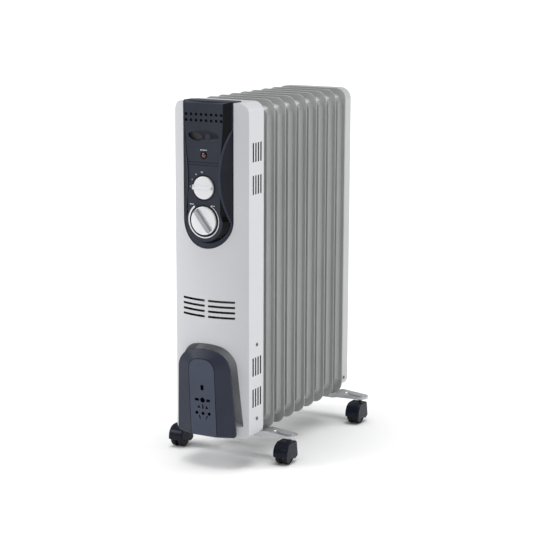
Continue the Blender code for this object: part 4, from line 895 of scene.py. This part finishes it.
def make_foot(name):
    low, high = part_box(f"{name}_foot_plate")
    middle = Matrix.Translation((0, (low.y + high.y) / 2, 0))
    top = high.z - 0.0021
    foot = joined(f"{name}_foot_channel", [moved(foot_bar(0, top, 0.0095, 0.0042), middle)],
                  [foot_paint])
    raised = []
    for side in (-1, 1):
        pad = bmesh.new()
        corners = [(-0.0150, -0.0088), (0.0150, -0.0088), (0.0150, 0.0088), (-0.0150, 0.0088)]
        outline(pad, corners, 0, [((0, 1, 2, 3), 0.00875, 10)])
        made = bmesh.ops.extrude_face_region(pad, geom=pad.faces[:])
        bmesh.ops.translate(pad, vec=(0, 0.0016, 0), verts=[
            v for v in made["geom"] if isinstance(v, bmesh.types.BMVert)])
        tilt = Matrix.Rotation(math.atan2(0.0040, STEM - KNEE[1]) * side, 4, "Y")
        raised.append(moved(pad, middle @ Matrix.Translation(
            (side * 0.0990, 0, top + foot_rise(0.0990) + 0.0007)) @ tilt @ TO_FRONT))
        dome = turned_profile([(0, -0.002), (0.0058, -0.002), (0.0058, 0), (0.0046, 0.0011),
                               (0.0024, 0.0017), (0, 0.0018)], 40)
        raised.append(moved(dome, middle @ Matrix.Translation(
            (side * 0.0775, 0, top + foot_rise(0.0775)))))
    combine(foot, "UNION", raised)
    soften(foot, 0.0009, 3, 35)
    combine(foot, "DIFFERENCE", [moved(foot_bar(0.0020, top - 0.0020, 0.03, 0.03), middle)])
    soften(foot, 0.0003, 2, 45)
    settle(foot, 35)
    place(foot, BODY, "zinc_steel", f"{name}_foot_plate")


# --- Castors ------------------------------------------------------------------------------
def side_profile(corners, low, high, rounds):
    """A (y, z) outline extruded along X."""
    mesh = slab(lambda bm, y: outline(bm, corners, y, rounds), -high, -low)
    return moved(mesh, Matrix.Rotation(math.radians(90), 4, "Z"))


def make_castor(corner):
    stem_low, stem_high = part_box(f"{corner}_stem")
    hood_low, hood_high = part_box(f"{corner}_hood")
    axle_low, axle_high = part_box(f"{corner}_axle")
    axle = (axle_low + axle_high) / 2
    top = hood_high.z
    spot = Matrix.Translation((axle.x, axle.y, 0))
    front, back = hood_low.y - axle.y, hood_high.y - axle.y
    corners = [(front, 0.0145), (front + 0.0004, top), (back - 0.0042, top), (back, 0.0105),
               (back - 0.0085, 0.0068)]
    body = side_profile(corners, -0.0140, 0.0140, [((1,), 0.0185, 14), ((2,), 0.0040, 6),
                                                   ((3,), 0.0030, 5)])
    hood = joined(f"{corner}_castor_hood", [moved(body, spot)], [castor_slate])
    soften(hood, 0.0018, 4, 32)
    room = WHEEL_RADIUS + 0.0009
    bays = []
    for hand in (-1, 1):
        low, high = sorted((hand * 0.0020, hand * 0.0122))
        bay = side_profile([(-room, -0.01), (room, -0.01), (room, WHEEL_RADIUS + room),
                            (-room, WHEEL_RADIUS + room)], low, high,
                           [((2, 3), room * 0.999, 20)])
        bays.append(moved(bay, spot))
    combine(hood, "DIFFERENCE", bays, black_and_recess_shade)
    combine(hood, "DIFFERENCE", [moved(turned_profile(
        [(0, -0.0001), (0.0031, -0.0001), (0.0031, 0.02), (0, 0.02)], 32),
        Matrix.Translation(((stem_low.x + stem_high.x) / 2, (stem_low.y + stem_high.y) / 2,
                            top - 0.0090)))], black_and_recess_shade)
    soften(hood, 0.0004, 2, 45)
    settle(hood, 35)
    place(hood, f"{corner}_castor", "charcoal_plastic", f"{corner}_hood")

    low = stem_low.z
    profile = [(0, low), (0.0027, low), (0.0027, top + 0.0004), (0.0045, top + 0.0004),
               (0.0048, top + 0.0008), (0.0048, stem_high.z - 0.0042),
               (0.0027, stem_high.z - 0.0040), (0.0027, stem_high.z - 0.0014),
               (0.0046, stem_high.z - 0.0014), (0.0044, stem_high.z - 0.0006),
               (0.0030, stem_high.z - 0.0001), (0, stem_high.z)]
    post = joined(f"{corner}_castor_stem", [moved(turned_profile(profile, 40),
                  Matrix.Translation(((stem_low.x + stem_high.x) / 2,
                                      (stem_low.y + stem_high.y) / 2, 0)))], [zinc])
    soften(post, 0.0002, 2, 35)
    settle(post)
    place(post, BODY, "zinc_steel", f"{corner}_stem")

    inner, width, radius = 0.0026, WHEEL_WIDTH, WHEEL_RADIUS
    for label, turn in (("left", TO_LEFT), ("right", TO_RIGHT)):
        profile = [(0.0024, 0.0), (0.0060, 0.0), (0.0066, 0.0008), (radius - 0.0034, 0.0008),
                   (radius - 0.0026, 0.0), (radius - 0.0010, 0.0), (radius, 0.0010),
                   (radius, 0.0040), (radius - 0.0005, 0.0044), (radius, 0.0048),
                   (radius, width - 0.0014), (radius - 0.0014, width),
                   (radius - 0.0030, width), (radius - 0.0036, width - 0.0012),
                   (0.0058, width - 0.0012), (0.0052, width - 0.0002), (0.0024, width - 0.0002)]
        wheel = joined(f"{corner}_castor_wheel_{label}", [moved(
            turned_profile(profile, 72, closed=True),
            Matrix.Translation(axle) @ turn @ Matrix.Translation((0, 0, inner)))],
            [rubber, hub])
        for face in wheel.data.polygons:
            reach = face.center - axle
            if math.hypot(reach.y, reach.z) < radius - 0.0034:
                face.material_index = 1
        soften(wheel, 0.0003, 2, 30)
        settle(wheel, 40)
        place(wheel, f"{corner}_wheel_{label}_body", "black_rubber", f"{corner}_wheel_{label}")


# --- Screws and small hardware --------------------------------------------------------------
def make_screw(node):
    low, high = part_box(node)
    side = 1 if high.x > 0 else -1
    outer = high.x if side > 0 else low.x
    middle = (low + high) / 2
    turn = TO_RIGHT if side > 0 else TO_LEFT
    profile = [(0, -0.0080), (0.0016, -0.0080), (0.0016, -0.0012), (0.0031, -0.0012),
               (0.0032, -0.0009), (0.0029, -0.0004), (0.0020, -0.0001), (0, 0.0)]
    matrix = Matrix.Translation((outer, middle.y, middle.z)) @ turn
    screw = joined(f"{node}_head", [moved(turned_profile(profile, 32), matrix)],
                   [dark_steel])
    cross = [block((-0.0016, -0.0003, -0.0009), (0.0016, 0.0003, 0.001)),
             block((-0.0003, -0.0016, -0.0009), (0.0003, 0.0016, 0.001))]
    for cut in cross:
        combine(screw, "DIFFERENCE", [moved(cut, matrix)], black_and_recess_shade)
    settle(screw)
    place(screw, BODY, "zinc_steel", node)


def dress_kept_nodes():
    """The pieces that keep their own shape get their finished surfaces."""
    for name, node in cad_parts.items():
        if node.hide_render:
            continue
        if "shaft" in name or "axle" in name or "bolt" in name or "nut" in name:
            chosen = zinc
        elif name in ("heating_element", "thermal_cutout", "control_chassis"):
            chosen = zinc
        elif name in ("element_gasket", "cord_inlet_bush"):
            chosen = rubber
        else:
            chosen = phenolic
        for index in range(len(node.material_slots)):
            node.material_slots[index].material = chosen


# --- Floor, light and camera ----------------------------------------------------------------
def make_stage():
    mesh = bmesh.new()
    bmesh.ops.create_grid(mesh, x_segments=1, y_segments=1, size=60)
    floor = joined("floor", [mesh], [finish("pale_floor", (0.92, 0.92, 0.92),
                                            (0.94, 0.94, 0.94), (0.75, 0.85), patch=0.6,
                                            grain=40, relief=0.01)])


def soft_sun(name, azimuth, elevation, strength, spread):
    """A broad light from far off. Azimuth 0 is in front of the heater, 90 on its right."""
    data = bpy.data.lights.new(name, "SUN")
    data.energy = strength
    data.angle = math.radians(spread)
    lamp = bpy.data.objects.new(name, data)
    turn, lift = math.radians(azimuth), math.radians(elevation)
    toward = Vector((math.sin(turn) * math.cos(lift), -math.cos(turn) * math.cos(lift),
                     math.sin(lift)))
    lamp.rotation_euler = toward.to_track_quat("Z", "Y").to_euler()
    bpy.context.scene.collection.objects.link(lamp)


def light_scene():
    world = bpy.data.worlds.new("studio")
    world.use_nodes = True
    nodes, links = world.node_tree.nodes, world.node_tree.links
    glow = nodes["Background"]
    glow.inputs["Color"].default_value = (1.0, 1.0, 1.0, 1)
    glow.inputs["Strength"].default_value = 0.30
    backdrop = nodes.new("ShaderNodeBackground")
    backdrop.inputs["Color"].default_value = (1.0, 1.0, 1.0, 1)
    backdrop.inputs["Strength"].default_value = 1.0
    path = nodes.new("ShaderNodeLightPath")
    mix = nodes.new("ShaderNodeMixShader")
    links.new(path.outputs["Is Camera Ray"], mix.inputs["Fac"])
    links.new(glow.outputs["Background"], mix.inputs[1])
    links.new(backdrop.outputs["Background"], mix.inputs[2])
    links.new(mix.outputs["Shader"], nodes["World Output"].inputs["Surface"])
    bpy.context.scene.world = world
    soft_sun("overhead", 180, 88, 2.4, 48)
    soft_sun("front_left", -50, 30, 1.10, 28)
    soft_sun("right_side", 130, 16, 1.35, 34)


def make_camera():
    azimuth, elevation, roll = math.radians(28.609), math.radians(11.390), 0.0039
    back = Vector((math.sin(azimuth) * math.cos(elevation),
                   -math.cos(azimuth) * math.cos(elevation), math.sin(elevation)))
    right_level = Vector((math.cos(azimuth), math.sin(azimuth), 0))
    up_level = back.cross(right_level)
    right = right_level * math.cos(roll) + up_level * math.sin(roll)
    up = up_level * math.cos(roll) - right_level * math.sin(roll)
    data = bpy.data.cameras.new("camera")
    data.lens = 103.37
    data.sensor_width = 36
    data.clip_end = 200
    camera = bpy.data.objects.new("camera", data)
    turn = Matrix((right, up, back)).transposed().to_4x4()
    camera.matrix_world = Matrix.Translation((1.3552, -2.437856, 0.8673)) @ turn
    bpy.context.scene.collection.objects.link(camera)
    bpy.context.scene.camera = camera
    bpy.context.scene.view_settings.view_transform = "Standard"


make_front_cover()
make_control_panel()
make_vent_shade_pad()
make_inserts()
make_knobs()
make_lamp()
make_prints()
make_plate()
make_fins()
make_rear_cover()
for end in ("front", "rear"):
    make_foot(end)
    for hand in ("left", "right"):
        make_castor(f"{end}_{hand}")
for hand in ("left", "right"):
    for level in ("upper", "lower"):
        make_screw(f"cover_screw_{hand}_{level}")
    make_screw(f"end_screw_{hand}")
dress_kept_nodes()
make_stage()
light_scene()
make_camera()
